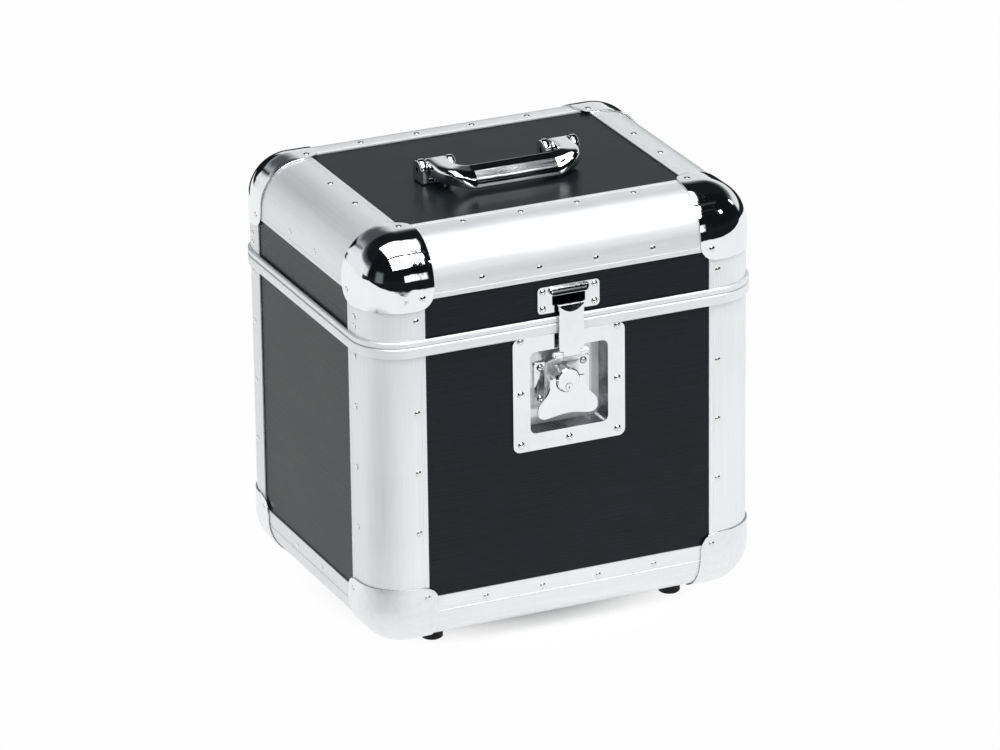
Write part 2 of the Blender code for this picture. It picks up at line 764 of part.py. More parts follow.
def latch_carriage(material):
    """Make the lifted plate: slotted for the rotor, ramped out to two knuckles."""
    front, back = carriage_levels()
    flat = (front + back) / 2
    low = HOOK_PIVOT_Z - KNUCKLE_RADIUS + CARRIAGE_SHEET / 2
    line = [
        (flat, ROTOR_Z - CARRIAGE_TAIL),
        (flat, ROTOR_Z + CARRIAGE_SHOULDER),
        (FRONT_Y + CARRIAGE_RAMP_DEPTH, ROTOR_Z + CARRIAGE_RAMP_RISE),
        (HOOK_PIVOT_Y, low),
    ]
    half = CARRIAGE_WIDTH / 2
    plate = prism("latch_carriage", [thicken(line, CARRIAGE_SHEET)], -half, half, along_x, material)
    pivot = (0, HOOK_PIVOT_Y, HOOK_PIVOT_Z)
    join(plate, cylinder("carriage_knuckles_guide", KNUCKLE_RADIUS, -half, half, pivot,
                         (1, 0, 0), KNUCKLE_SIDES))
    room = HOOK_KNUCKLE_HALF_WIDTH + GAP
    cut(plate, cylinder("carriage_gap_cutter", KNUCKLE_RADIUS + GAP, -room, room, pivot,
                        (1, 0, 0), KNUCKLE_SIDES))
    cut(plate, cylinder("carriage_pin_cutter", HOOK_PIN_RADIUS + GAP, -half - OVERRUN,
                        half + OVERRUN, pivot, (1, 0, 0), KNUCKLE_SIDES))
    radius = ROTOR_SHAFT_RADIUS + GAP
    slot = arc((0, ROTOR_Z), radius, 0, pi, ROTOR_SIDES // 2)
    slot += arc((0, ROTOR_Z - LATCH_THROW), radius, pi, 2 * pi, ROTOR_SIDES // 2)
    cut(plate, prism("carriage_slot_cutter", [slot], front - OVERRUN, back + OVERRUN, along_y))
    return plate


def latch_rotor(material):
    """Make the turning barrel, bored for the key plug and the flap's pins."""
    front, back = carriage_levels()
    floor = FRONT_Y + DISH_FLOOR_DEPTH - GAP
    head = front - GAP
    profile = (
        (ROTOR_SHAFT_RADIUS, -floor),
        (ROTOR_SHAFT_RADIUS, -head),
        (ROTOR_RADIUS, -head),
        (ROTOR_RADIUS, -(FRONT_Y + ROTOR_CHAMFER)),
        (ROTOR_RADIUS - ROTOR_CHAMFER, -FRONT_Y),
    )
    rotor = turned("latch_rotor", profile, (0, 0, ROTOR_Z), (0, -1, 0), ROTOR_SIDES, material)
    plug_z = ROTOR_Z - PLUG_DROP
    cut(rotor, cylinder("rotor_plug_cutter", PLUG_RADIUS + GAP, -(FRONT_Y + PLUG_DEPTH + GAP),
                        -(FRONT_Y - OVERRUN), (0, 0, plug_z), (0, -1, 0), PLUG_SIDES))
    reach = ROTOR_RADIUS + OVERRUN
    depth = ROTOR_RADIUS - FLAP_PIN_LENGTH - GAP
    for side_name, side in SIDES:
        cut(rotor, cylinder(f"rotor_pin_cutter_{side_name}", FLAP_PIN_RADIUS + GAP, depth, reach,
                            (0, FLAP_PIVOT_Y, ROTOR_Z), (side, 0, 0), KNUCKLE_SIDES // 2))
    pivot_at(rotor, (0, FRONT_Y, ROTOR_Z))
    return rotor


def latch_key_plug(material):
    """Make the key plug with its keyway."""
    front = FRONT_Y - PLUG_PROUD
    back = FRONT_Y + PLUG_DEPTH
    plug_z = ROTOR_Z - PLUG_DROP
    plug = cylinder("latch_key_plug", PLUG_RADIUS, -back, -front, (0, 0, plug_z), (0, -1, 0),
                    PLUG_SIDES, material)
    half_u = KEYWAY_WIDTH / 2
    half_v = KEYWAY_HEIGHT / 2
    slot = rectangle((-half_u, plug_z - half_v), (half_u, plug_z + half_v))
    cut(plug, prism("keyway_cutter", [slot], front - OVERRUN, front + KEYWAY_DEPTH, along_y))
    pivot_at(plug, (0, FRONT_Y, plug_z))
    return plug


def flap_outline():
    """Return the bell outline of the thumb flap, in (x, z)."""
    side = []
    for share_u, share_v in FLAP_SIDE_SHARES:
        side.append((share_u * FLAP_HALF_WIDTH, ROTOR_Z - share_v * FLAP_LENGTH))
    curve = smooth_line(side + [(0, ROTOR_Z - FLAP_MIDDLE_SHARE * FLAP_LENGTH)],
                        FLAP_SIDE_SUBSTEPS)
    ear_top = ROTOR_Z + FLAP_EAR_RISE
    ear_out = FLAP_SIDE_SHARES[0][0] * FLAP_HALF_WIDTH
    ear_in = ROTOR_RADIUS + FLAP_CLEARANCE
    sweep = sqrt(ROTOR_RADIUS ** 2 + FLAP_PIVOT_DEPTH ** 2) + FLAP_CLEARANCE
    start = asin(ear_in / sweep)
    notch = []
    for u, v in arc((0, 0), sweep, -pi / 2 + start, -pi / 2, ARC_STEPS):
        notch.append((u, ROTOR_Z + v))
    right = [(ear_in, ear_top), (ear_out, ear_top)] + curve
    left = [(-u, v) for u, v in reversed(right[:-1])]
    mirrored = [(-u, v) for u, v in notch[:-1]]
    return right + left + mirrored + notch[::-1]


def latch_flap(material):
    """Make the folding thumb flap with its two pivot pins."""
    front = FLAP_PIVOT_Y - FLAP_THICKNESS / 2
    back = FLAP_PIVOT_Y + FLAP_THICKNESS / 2
    flap = prism("latch_thumb_flap", [flap_outline()], front, back, along_y, material)
    inner = ROTOR_RADIUS - FLAP_PIN_LENGTH
    outer = ROTOR_RADIUS + FLAP_CLEARANCE + OVERRUN
    for side_name, side in SIDES:
        join(flap, cylinder(f"flap_pin_guide_{side_name}", FLAP_PIN_RADIUS - OVERRUN / 10, inner,
                            outer, (0, FLAP_PIVOT_Y, ROTOR_Z), (side, 0, 0), KNUCKLE_SIDES // 2))
    pivot_at(flap, (0, FLAP_PIVOT_Y, ROTOR_Z))
    return flap


def latch_hook(material):
    """Make the hook arm: a knuckle, a flat strap with a thumb nick, and a bent nose."""
    outer = HOOK_PIVOT_Y - KNUCKLE_RADIUS
    middle = outer + HOOK_SHEET / 2
    low = HOOK_PIVOT_Z + KNUCKLE_RADIUS + GAP
    high = HOOK_PIVOT_Z + HOOK_HEIGHT
    bend = HOOK_BEND_RADIUS - HOOK_SHEET / 2
    nose = FRONT_Y - BAND_PROUD - HOOK_NOSE_CLEARANCE
    line = [(middle, low)]
    line += arc((middle + bend, high - HOOK_BEND_RADIUS), bend, pi, pi / 2, ARC_STEPS)
    line[-1] = (max(nose, line[-2][0] + GAP), line[-1][1])
    half = HOOK_WIDTH / 2
    arm = prism("latch_hook_arm", [thicken(line, HOOK_SHEET)], -half, half, along_x, material)
    pivot = (0, HOOK_PIVOT_Y, HOOK_PIVOT_Z)
    join(arm, cylinder("hook_knuckle_guide", KNUCKLE_RADIUS, -HOOK_KNUCKLE_HALF_WIDTH,
                       HOOK_KNUCKLE_HALF_WIDTH, pivot, (1, 0, 0), KNUCKLE_SIDES))
    root = rectangle((outer, HOOK_PIVOT_Z), (outer + HOOK_SHEET, low + OVERRUN))
    join(arm, prism("hook_root_guide", [root], -HOOK_KNUCKLE_HALF_WIDTH,
                    HOOK_KNUCKLE_HALF_WIDTH, along_x))
    cut(arm, cylinder("hook_pin_cutter", HOOK_PIN_RADIUS + GAP, -half, half, pivot, (1, 0, 0),
                      KNUCKLE_SIDES))
    tilt = atan(HOOK_NICK_DEPTH / HOOK_NICK_HEIGHT)
    start = (0, outer + HOOK_NICK_DEPTH - HOOK_NICK_RADIUS * cos(tilt),
             high - HOOK_NICK_BELOW_TOP + HOOK_NICK_RADIUS * sin(tilt))
    cut(arm, cylinder("hook_nick_cutter", HOOK_NICK_RADIUS, 0, 2 * HOOK_NICK_HEIGHT, start,
                      (0, -sin(tilt), -cos(tilt)), HOOK_NICK_SIDES))
    pivot_at(arm, pivot)
    return arm


def latch_hook_pin(material):
    """Make the headed pin through the hook's knuckles."""
    end = CARRIAGE_WIDTH / 2 + GAP
    head = end + HOOK_PIN_HEAD_LENGTH
    profile = ((HOOK_PIN_HEAD, -head), (HOOK_PIN_HEAD, -end), (HOOK_PIN_RADIUS, -end),
               (HOOK_PIN_RADIUS, end), (HOOK_PIN_HEAD, end), (HOOK_PIN_HEAD, head))
    return turned("latch_hook_pin", profile, (0, HOOK_PIVOT_Y, HOOK_PIVOT_Z), (1, 0, 0),
                  KNUCKLE_SIDES, material)


def keeper_plate(material):
    """Make the keeper: a plate with a window under a raised hood."""
    middle = (0, SEAM_Z + KEEPER_ABOVE_SEAM + KEEPER_HEIGHT / 2)
    back = FRONT_Y + PANEL_INSET - GAP
    front = back - KEEPER_SHEET
    outline = rounded_rectangle(middle, KEEPER_WIDTH, KEEPER_HEIGHT, KEEPER_CORNER,
                                DISH_CORNER_STEPS)
    window = rounded_rectangle(window_place(), KEEPER_WINDOW_WIDTH, KEEPER_WINDOW_HEIGHT,
                               KEEPER_WINDOW_CORNER, DISH_CORNER_STEPS)
    plate = prism("keeper_plate", [outline, window], front, back, along_y, material)
    window_top = window_place()[1] + KEEPER_WINDOW_HEIGHT / 2
    rings = []
    for index in range(HOOD_STEPS + 1):
        angle = (pi / 2) * index / HOOD_STEPS
        shrink = HOOD_HEIGHT / 2 * (1 - cos(angle))
        wide = HOOD_WIDTH - 2 * shrink
        tall = max(HOOD_HEIGHT - 2 * shrink, GAP)
        depth = front - HOOD_PROUD * sin(angle)
        outline = rounded_rectangle((0, window_top + tall / 2), wide, tall, tall / 2 - GAP / 4,
                                    DISH_CORNER_STEPS)
        rings.append([along_y(u, v, depth) for u, v in outline])
    root = [along_y(p.x, p.z, back - KEEPER_SHEET / 2) for p in rings[0]]
    join(plate, loft("keeper_hood_guide", [root] + rings))
    return plate


# Handle

def handle_section(centre, outward, share):
    """Return one section of the handle, with its corners broken, square to its path."""
    corners = []
    for arm, grip in zip(ARM_CORNERS, GRIP_CORNERS):
        out = arm[0] + (grip[0] - arm[0]) * share
        rise = arm[1] + (grip[1] - arm[1]) * share
        corners.append(centre + outward * out + Vector((0, 0, rise)))
    ring = []
    for index, corner in enumerate(corners):
        before = corners[index - 1] - corner
        after = corners[(index + 1) % len(corners)] - corner
        ring.append(corner + before.normalized() * HANDLE_CORNER_BREAK)
        ring.append(corner + after.normalized() * HANDLE_CORNER_BREAK)
    return ring


def handle_rings():
    """Return the handle's sections from the left hub round to the right one."""
    bend = HANDLE_BEND_RADIUS
    bend_y = HANDLE_PIVOT_Y - HANDLE_REACH + bend
    left = []
    for y in (HANDLE_PIVOT_Y, HANDLE_PIVOT_Y - HANDLE_ARM_STRAIGHT):
        left.append((Vector((-HANDLE_SPREAD, y, HANDLE_PIVOT_Z)), Vector((-1, 0, 0)), 0))
    centre = Vector((-HANDLE_SPREAD + bend, bend_y, HANDLE_PIVOT_Z))
    for index in range(HANDLE_BEND_STEPS + 1):
        angle = (pi / 2) * index / HANDLE_BEND_STEPS
        outward = Vector((-cos(angle), -sin(angle), 0))
        share = ARM_SWELL_SHARE + (1 - ARM_SWELL_SHARE) * index / HANDLE_BEND_STEPS
        left.append((centre + outward * bend, outward, share))
    stations = list(left)
    grip = Vector((0, HANDLE_PIVOT_Y - HANDLE_REACH, HANDLE_PIVOT_Z))
    stations.append((grip, Vector((0, -1, 0)), 1))
    for spot, outward, share in reversed(left):
        stations.append((Vector((-spot.x, spot.y, spot.z)),
                         Vector((-outward.x, outward.y, 0)), share))
    return [handle_section(spot, outward, share) for spot, outward, share in stations]


def handle(material):
    """Make the carrying handle with a hub at each end."""
    grip = loft("handle", handle_rings(), material)
    half = HANDLE_HUB_HALF_WIDTH
    for side_name, side in SIDES:
        centre = (side * HANDLE_SPREAD, HANDLE_PIVOT_Y, HANDLE_PIVOT_Z)
        join(grip, cylinder(f"handle_hub_guide_{side_name}", HANDLE_HUB_RADIUS, -half, half,
                            centre, (1, 0, 0), ROTOR_SIDES))
        cut(grip, cylinder(f"handle_hub_cutter_{side_name}", HANDLE_PIN_RADIUS + GAP,
                           -half - OVERRUN, half + OVERRUN, centre, (1, 0, 0), KNUCKLE_SIDES))
    pivot_at(grip, (0, HANDLE_PIVOT_Y, HANDLE_PIVOT_Z))
    return grip


def bracket_extent():
    """Return a bracket's half width and the inner side of its ears."""
    inner = HANDLE_HUB_HALF_WIDTH + GAP
    return inner + BRACKET_EAR, inner


def handle_bracket(side_name, side, material):
    """Make one bracket: a foot plate and two round-topped ears."""
    outer, inner = bracket_extent()
    foot = TOP_Z - PANEL_INSET + GAP
    half_foot = BRACKET_FOOT_LENGTH / 2
    centre_x = side * HANDLE_SPREAD
    plate = rectangle((HANDLE_PIVOT_Y - half_foot, foot),
                      (HANDLE_PIVOT_Y + half_foot, foot + BRACKET_SHEET))
    bracket = prism(f"handle_bracket_{side_name}", [plate], centre_x - outer, centre_x + outer,
                    along_x, material)
    ear = [(HANDLE_PIVOT_Y - half_foot + EAR_BEVEL, foot + OVERRUN / 2)]
    ear += [(HANDLE_PIVOT_Y + half_foot - EAR_BEVEL, foot + OVERRUN / 2)]
    ear += arc((HANDLE_PIVOT_Y, HANDLE_PIVOT_Z), BRACKET_EAR_TOP, BRACKET_EAR_FLARE,
               pi - BRACKET_EAR_FLARE, BRACKET_EAR_ARC_STEPS)
    for index, (low, high) in enumerate(((-outer, -inner), (inner, outer))):
        lug = prism(f"bracket_ear_guide_{side_name}_{index}", [ear], centre_x + low,
                    centre_x + high, along_x)
        join(bracket, lug)
    cut(bracket, cylinder(f"bracket_pin_cutter_{side_name}", HANDLE_PIN_RADIUS + GAP,
                          -outer - OVERRUN, outer + OVERRUN,
                          (centre_x, HANDLE_PIVOT_Y, HANDLE_PIVOT_Z), (1, 0, 0), KNUCKLE_SIDES))
    return bracket


def handle_pin(side_name, side, material):
    """Make the pivot pin through one bracket."""
    outer = bracket_extent()[0]
    centre = (side * HANDLE_SPREAD, HANDLE_PIVOT_Y, HANDLE_PIVOT_Z)
    return cylinder(f"handle_pin_{side_name}", HANDLE_PIN_RADIUS, -outer, outer, centre,
                    (1, 0, 0), KNUCKLE_SIDES, material)


# Hinges

def hinge_leaf(name, centre_x, upward, taken, material):
    """Make a cranked leaf with its share of the knuckles.

    upward is +1 on the lid and -1 on the base, and taken lists the knuckle
    positions that belong to this leaf.
    """
    flat = BACK_Y - PANEL_INSET + GAP + HINGE_SHEET / 2
    proud = BACK_Y + BAND_PROUD + GAP + HINGE_SHEET / 2
    lip = LID_BAND_LIP if upward > 0 else BASE_BAND_LIP
    length = HINGE_LID_LEAF if upward > 0 else HINGE_BASE_LEAF
    line = [
        (flat, SEAM_Z + upward * length),
        (flat, SEAM_Z + upward * (lip + HINGE_JOG)),
        (proud, SEAM_Z + upward * (lip + GAP)),
        (proud, SEAM_Z + upward * GAP),
    ]
    half = HINGE_WIDTH / 2
    leaf = prism(name, [thicken(line, HINGE_SHEET)], centre_x - half, centre_x + half,
                 along_x, material)
    pivot = (centre_x, HINGE_Y, SEAM_Z)
    join(leaf, cylinder(name + "_knuckle_guide", HINGE_KNUCKLE_RADIUS, -half, half, pivot,
                        (1, 0, 0), HINGE_SIDES))
    pitch = HINGE_WIDTH / HINGE_KNUCKLES
    for index in range(HINGE_KNUCKLES):
        if index in taken:
            continue
        low = -half + index * pitch - (GAP / 2 if index else OVERRUN)
        high = low + pitch + (GAP if 0 < index < HINGE_KNUCKLES - 1 else GAP / 2 + OVERRUN)
        cut(leaf, cylinder(f"{name}_gap_cutter_{index}", HINGE_KNUCKLE_RADIUS + GAP, low, high,
                           pivot, (1, 0, 0), HINGE_SIDES))
    cut(leaf, cylinder(name + "_pin_cutter", HINGE_PIN_RADIUS + HINGE_PIN_CLEARANCE,
                       -half - OVERRUN, half + OVERRUN, pivot, (1, 0, 0), HINGE_SIDES))
    return leaf


def hinges(materials):
    """Make both butt hinges."""
    half = HINGE_WIDTH / 2
    for side_name, side in SIDES:
        centre_x = side * (HALF_WIDTH - HINGE_SIDE_INSET - HINGE_WIDTH / 2)
        hinge_leaf(f"hinge_{side_name}_base_leaf", centre_x, -1, (0, 2, 4), materials["nickel"])
        hinge_leaf(f"hinge_{side_name}_lid_leaf", centre_x, 1, (1, 3), materials["nickel"])
        cylinder(f"hinge_{side_name}_pin", HINGE_PIN_RADIUS, -half, half,
                 (centre_x, HINGE_Y, SEAM_Z), (1, 0, 0), HINGE_SIDES, materials["nickel"])


def latch(materials):
    """Make the recessed rotary draw latch and its keeper."""
    nickel = materials["nickel"]
    latch_dish(nickel)
    latch_base_plate(nickel)
    latch_carriage(nickel)
    latch_rotor(materials["chrome"])
    latch_key_plug(nickel)
    latch_flap(materials["chrome"])
    latch_hook(nickel)
    latch_hook_pin(nickel)
    keeper_plate(nickel)


def main():
    """Build the whole case."""
    clear_scene()
    materials = make_materials()
    case_shell(materials)
    latch(materials)
    hinges(materials)
    handle(materials["chrome"])
    for side_name, side in SIDES:
        handle_bracket(side_name, side, materials["chrome"])
        handle_pin(side_name, side, materials["nickel"])


main()
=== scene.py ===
"""Dressed model of a record carrying case: its finishes, rivets, lip beads and studio."""
from __future__ import annotations

import json
import logging
import math
from dataclasses import dataclass, field
from enum import Enum
from typing import Iterable, Sequence

import bmesh
import bpy
from mathutils import Matrix, Vector

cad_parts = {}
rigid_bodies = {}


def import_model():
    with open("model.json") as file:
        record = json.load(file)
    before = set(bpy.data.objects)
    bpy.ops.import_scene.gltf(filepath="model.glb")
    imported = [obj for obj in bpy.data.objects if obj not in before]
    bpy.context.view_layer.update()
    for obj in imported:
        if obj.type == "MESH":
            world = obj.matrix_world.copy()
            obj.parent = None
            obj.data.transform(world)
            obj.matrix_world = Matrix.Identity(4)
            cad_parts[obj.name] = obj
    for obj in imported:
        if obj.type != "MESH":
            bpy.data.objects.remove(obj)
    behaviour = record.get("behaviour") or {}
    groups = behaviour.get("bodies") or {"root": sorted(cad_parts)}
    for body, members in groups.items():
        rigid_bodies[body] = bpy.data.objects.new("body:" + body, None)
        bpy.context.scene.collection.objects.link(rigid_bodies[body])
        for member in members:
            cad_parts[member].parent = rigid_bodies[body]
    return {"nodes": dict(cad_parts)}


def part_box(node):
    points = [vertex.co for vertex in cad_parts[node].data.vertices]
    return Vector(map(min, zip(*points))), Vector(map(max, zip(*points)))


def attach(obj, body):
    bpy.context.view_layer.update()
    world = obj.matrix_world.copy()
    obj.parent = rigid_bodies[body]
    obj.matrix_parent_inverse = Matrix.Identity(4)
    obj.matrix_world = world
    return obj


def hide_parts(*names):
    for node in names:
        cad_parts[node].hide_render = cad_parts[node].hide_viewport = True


LOG = logging.getLogger("record_case")
MM = 0.001
# Points nearer than this are one point, and facets that turn less than this are one face.
WELD = 0.001 * MM
FLAT_DEGREES = 0.4
# Edges sharper than this stay sharp, in degrees: on sheet and extrusions, and on round pieces.
CREASE = 30.0
ROUND_CREASE = 40.0
# An edge is rounded when it is this much sharper than the edges that are shaded smooth.
SHARPER_DEGREES = 5.0
ENDS = ("front", "back")
SIDES = ("left", "right")
CORNERS = tuple(f"{end}_{side}" for end in ENDS for side in SIDES)
SIGN = {"front": -1, "back": 1, "left": -1, "right": 1}
OUTWARD = {wall: Vector((0, SIGN[wall], 0) if wall in ENDS else (SIGN[wall], 0, 0))
           for wall in ENDS + SIDES}


def linear(colour: str) -> tuple[float, float, float, float]:
    """Turn an sRGB hex colour into linear RGBA.

    Args:
        colour: The colour as "#RRGGBB".

    Returns:
        Linear red, green and blue with full alpha.
    """
    channels = []
    for index in (1, 3, 5):
        value = int(colour[index:index + 2], 16) / 255
        channels.append(value / 12.92 if value <= 0.04045 else ((value + 0.055) / 1.055) ** 2.4)
    return (channels[0], channels[1], channels[2], 1.0)


def add(tree: bpy.types.NodeTree, kind: str, settings: dict | None = None,
        links: dict | None = None) -> bpy.types.Node:
    """Add a node, set its values and link its inputs.

    Args:
        tree: The tree that gets the node.
        kind: The node's type name.
        settings: Properties by name, or default values by input name or index.
        links: Output sockets by the input name or index that they feed.

    Returns:
        The new node.
    """
    node = tree.nodes.new(kind)
    for name, value in (settings or {}).items():
        if isinstance(name, str) and hasattr(node, name):
            setattr(node, name, value)
        else:
            node.inputs[name].default_value = value
    for name, socket in (links or {}).items():
        tree.links.new(socket, node.inputs[name])
    return node


def ramp(tree: bpy.types.NodeTree, factor: bpy.types.NodeSocket,
         stops: Sequence[tuple[float, str]]) -> bpy.types.NodeSocket:
    """Add a colour ramp and return its colour.

    Args:
        tree: The tree that gets the node.
        factor: The socket that drives the ramp.
        stops: Positions and sRGB hex colours.

    Returns:
        The ramp's colour socket.
    """
    node = add(tree, "ShaderNodeValToRGB", links={"Fac": factor})
    elements = node.color_ramp.elements
    while len(elements) < len(stops):
        elements.new(0.5)
    for element, (position, colour) in zip(elements, stops):
        element.position = position
        element.color = linear(colour)
    return node.outputs["Color"]


class Grain(Enum):
    """The way a brushed or rolled grain runs, as stretch factors on X, Y and Z."""

    ALONG_X = (0.012, 1.0, 1.0)
    ALONG_Y = (1.0, 0.012, 1.0)
    ALONG_Z = (1.0, 1.0, 0.012)
    LEVEL = (0.012, 0.012, 1.0)
    NONE = (1.0, 1.0, 1.0)


@dataclass(frozen=True)
class Surface:
    """A finish built from two noises: a fine grain and a broad unevenness."""

    name: str
    light: str
    dark: str
    metallic: float
    rough_low: float
    rough_high: float
    grain: Grain = Grain.NONE
    grain_mm: float = 0.8
    grain_bump: float = 0.0
    bump_mm: float = 0.05
    cloud_mm: float = 60.0
    cloud_share: float = 0.3
    specular: float = 0.5
    # The noises stay between these two values, so the colours and roughness run between them.
    SPAN = (0.3, 0.7)
    # How finely the two noises are broken up, and how strong the grain's small streaks are.
    GRAIN_DETAIL = 3.0
    GRAIN_ROUGHNESS = 0.6
    CLOUD_DETAIL = 2.0

    def build(self) -> bpy.types.Material:
        """Return the material with its node tree."""
        material = bpy.data.materials.new(self.name)
        material.use_nodes = True
        tree = material.node_tree
        tree.nodes.clear()
        place = add(tree, "ShaderNodeTexCoord").outputs["Object"]
        stretch = add(tree, "ShaderNodeMapping", {"Scale": self.grain.value}, {"Vector": place})
        fine = add(tree, "ShaderNodeTexNoise",
                   {"Scale": 1 / (self.grain_mm * MM), "Detail": self.GRAIN_DETAIL,
                    "Roughness": self.GRAIN_ROUGHNESS},
                   {"Vector": stretch.outputs["Vector"]}).outputs["Fac"]
        cloud = add(tree, "ShaderNodeTexNoise",
                    {"Scale": 1 / (self.cloud_mm * MM), "Detail": self.CLOUD_DETAIL},
                    {"Vector": place}).outputs["Fac"]
        blend = add(tree, "ShaderNodeMix", {"data_type": "FLOAT", "Factor": self.cloud_share},
                    {2: fine, 3: cloud}).outputs[0]
        low, high = self.SPAN
        colour = ramp(tree, blend, ((low, self.dark), (high, self.light)))
        rough = add(tree, "ShaderNodeMapRange",
                    {"From Min": low, "From Max": high, "To Min": self.rough_low,
                     "To Max": self.rough_high}, {"Value": blend}).outputs["Result"]
        shader = add(tree, "ShaderNodeBsdfPrincipled",
                     {"Metallic": self.metallic, "Specular IOR Level": self.specular},
                     {"Base Color": colour, "Roughness": rough})
        if self.grain_bump:
            bump = add(tree, "ShaderNodeBump",
                       {"Strength": self.grain_bump, "Distance": self.bump_mm * MM}, {"Height": fine})
            tree.links.new(bump.outputs["Normal"], shader.inputs["Normal"])
        add(tree, "ShaderNodeOutputMaterial", links={"Surface": shader.outputs["BSDF"]})
        return material


class Finishes:
    """Every finish on the case, built once and shared."""

    def __init__(self) -> None:
        """Build the materials."""
        # Black laminate pressed on plywood with a fine brushed grain: dark with a soft satin sheen.
        # The real grain is about 0.2 mm wide, drawn wider so that it shows.
        self.laminate = {grain: Surface(f"brushed_black_laminate_{grain.name.lower()}", "#141A20",
                                        "#0D1217", 0.0, 0.24, 0.34, grain, 0.9, 0.2,
                                        cloud_share=0.25, specular=0.2).build()
                         for grain in (Grain.ALONG_X, Grain.ALONG_Y, Grain.LEVEL)}
        # The lid's top board: the same laminate, more matt and with a weaker sheen, as painted shade
        # that makes the top render darker under the overhead light.
        self.top_laminate = Surface("top_laminate_painted_shade", "#161B1F", "#0F1316", 0.0, 0.26, 0.36,
                                    Grain.ALONG_X, 0.9, 0.2, cloud_share=0.25,
                                    specular=0.1).build()
        # Extruded aluminium, brushed along its length and clear anodised: pale, with soft streaks.
        self.aluminium = {grain: Surface(f"brushed_aluminium_{grain.name.lower()}", "#EEF0F1",
                                         "#E2E4E6", 0.50, 0.32, 0.42, grain, 1.1, 0.05,
                                         cloud_share=0.35).build()
                          for grain in (Grain.ALONG_X, Grain.ALONG_Y, Grain.ALONG_Z, Grain.LEVEL)}
        # Pressed steel, polished and chromed: a true mirror, faintly wavy from the press.
        self.chrome = Surface("polished_chrome", "#F2F3F4", "#E9EAEC", 1.0, 0.02, 0.05,
                              grain_mm=16.0, grain_bump=0.28, bump_mm=0.35,
                              cloud_share=0.6).build()
        # Die-cast zinc, polished lengthwise by belt and chromed: a mirror with long soft ripples,
        # and dark grey streaks painted along it as painted reflection of the room.
        self.cast_chrome = Surface("belt_polished_chrome_painted_streaks", "#F4F5F6", "#7F858B", 1.0, 0.03, 0.10,
                                   Grain.ALONG_X, 2.2, 0.8, 0.14, cloud_share=0.5).build()
        # Pressed steel with a satin plate: pale and blurred.
        self.satin_cap = Surface("satin_plated_steel", "#F3F4F5", "#E4E6E8", 1.0, 0.20, 0.30,
                                 grain_mm=6.0, cloud_share=0.5).build()
        # Nickel-plated sheet steel of the latch: bright, with faint rolling marks.
        self.nickel = Surface("bright_nickel_sheet", "#F1F2F3", "#E7E8EA", 1.0, 0.08, 0.14,
                              grain_mm=9.0, cloud_share=0.5).build()
        # The dish's floor, the carriage and its pin: the same nickel, a little duller, and lightened
        # to a milky half-metal as painted light, so that the shaded dish floor reads light.
        self.painted_light_nickel = Surface("painted_light_nickel_sheet", "#F6F7F8", "#ECEDEF", 0.5, 0.14, 0.22,
                                   grain_mm=9.0, cloud_share=0.5).build()
        # The dish's deep-drawn walls: nickel painted dark as painted shade in the recess, duller,
        # with streaks along the draw.
        self.painted_shade_wall = Surface("nickel_wall_painted_shade", "#9A9EA3", "#303337", 1.0, 0.14, 0.28,
                                  Grain.ALONG_Y, 1.6, cloud_mm=18.0, cloud_share=0.55).build()
        # Rivet heads of polished steel.
        self.rivet = Surface("polished_rivet_steel", "#EFEFEF", "#DCDDDE", 1.0, 0.06, 0.14,
                             grain_mm=1.5).build()
        # Zinc-plated sheet steel of the hinges: greyer and duller, with a mottled plate.
        self.zinc = Surface("zinc_plated_steel", "#D2D5D8", "#B9BCC0", 1.0, 0.24, 0.38,
                            grain_mm=7.0, grain_bump=0.02).build()
        # Moulded rubber of the feet: matt black with a fine pebble.
        self.rubber = Surface("moulded_black_rubber", "#1E1E20", "#141416", 0.0, 0.6, 0.8,
                              grain_mm=0.8, grain_bump=0.4, specular=0.3).build()
        LOG.info("finishes: %d materials", len(bpy.data.materials))


def linked(name: str, data: bpy.types.ID) -> bpy.types.Object:
    """Put an object with this data at the origin of the scene."""
    item = bpy.data.objects.new(name, data)
    bpy.context.scene.collection.objects.link(item)
    return item


def welded(node: str) -> bmesh.types.BMesh:
    """Return a CAD node's triangles as one welded mesh to work on."""
    source = FRAME["nodes"][node]
    shape = bmesh.new()
    shape.from_mesh(source.data)
    shape.transform(source.matrix_world)
    bmesh.ops.remove_doubles(shape, verts=shape.verts, dist=WELD)
    return shape


def kept(shape: bmesh.types.BMesh, name: str) -> bpy.types.Object:
    """Keep a worked mesh as a new piece with no material."""
    mesh = bpy.data.meshes.new(name)
    shape.to_mesh(mesh)
    shape.free()
    return linked(name, mesh)


def rounded(item: bpy.types.Object, width: float, strips: int, angle: float) -> None:
    """Round the edges of a piece.

    Args:
        item: The piece.
        width: The rounding's width, in metres.
        strips: How many strips make it.
        angle: Only edges sharper than this are rounded, in degrees.
    """
    bevel = item.modifiers.new("edge_round", "BEVEL")
    bevel.width = width
    bevel.segments = strips
    bevel.limit_method = "ANGLE"
    bevel.angle_limit = math.radians(angle)
    bevel.use_clamp_overlap = True


def shade(item: bpy.types.Object, angle: float = CREASE, edge: float = 0.0) -> None:
    """Shade a piece smooth across soft edges and keep flat faces flat.

    Args:
        item: The piece.
        angle: Edges sharper than this stay sharp, in degrees.
        edge: Width of a small rounding on the sharp edges, in metres.
    """
    item.data.shade_smooth()
    item.data.set_sharp_from_angle(angle=math.radians(angle))
    if edge:
        rounded(item, edge, 2, angle + SHARPER_DEGREES)
    weigh = item.modifiers.new("flat_faces", "WEIGHTED_NORMAL")
    weigh.keep_sharp = True


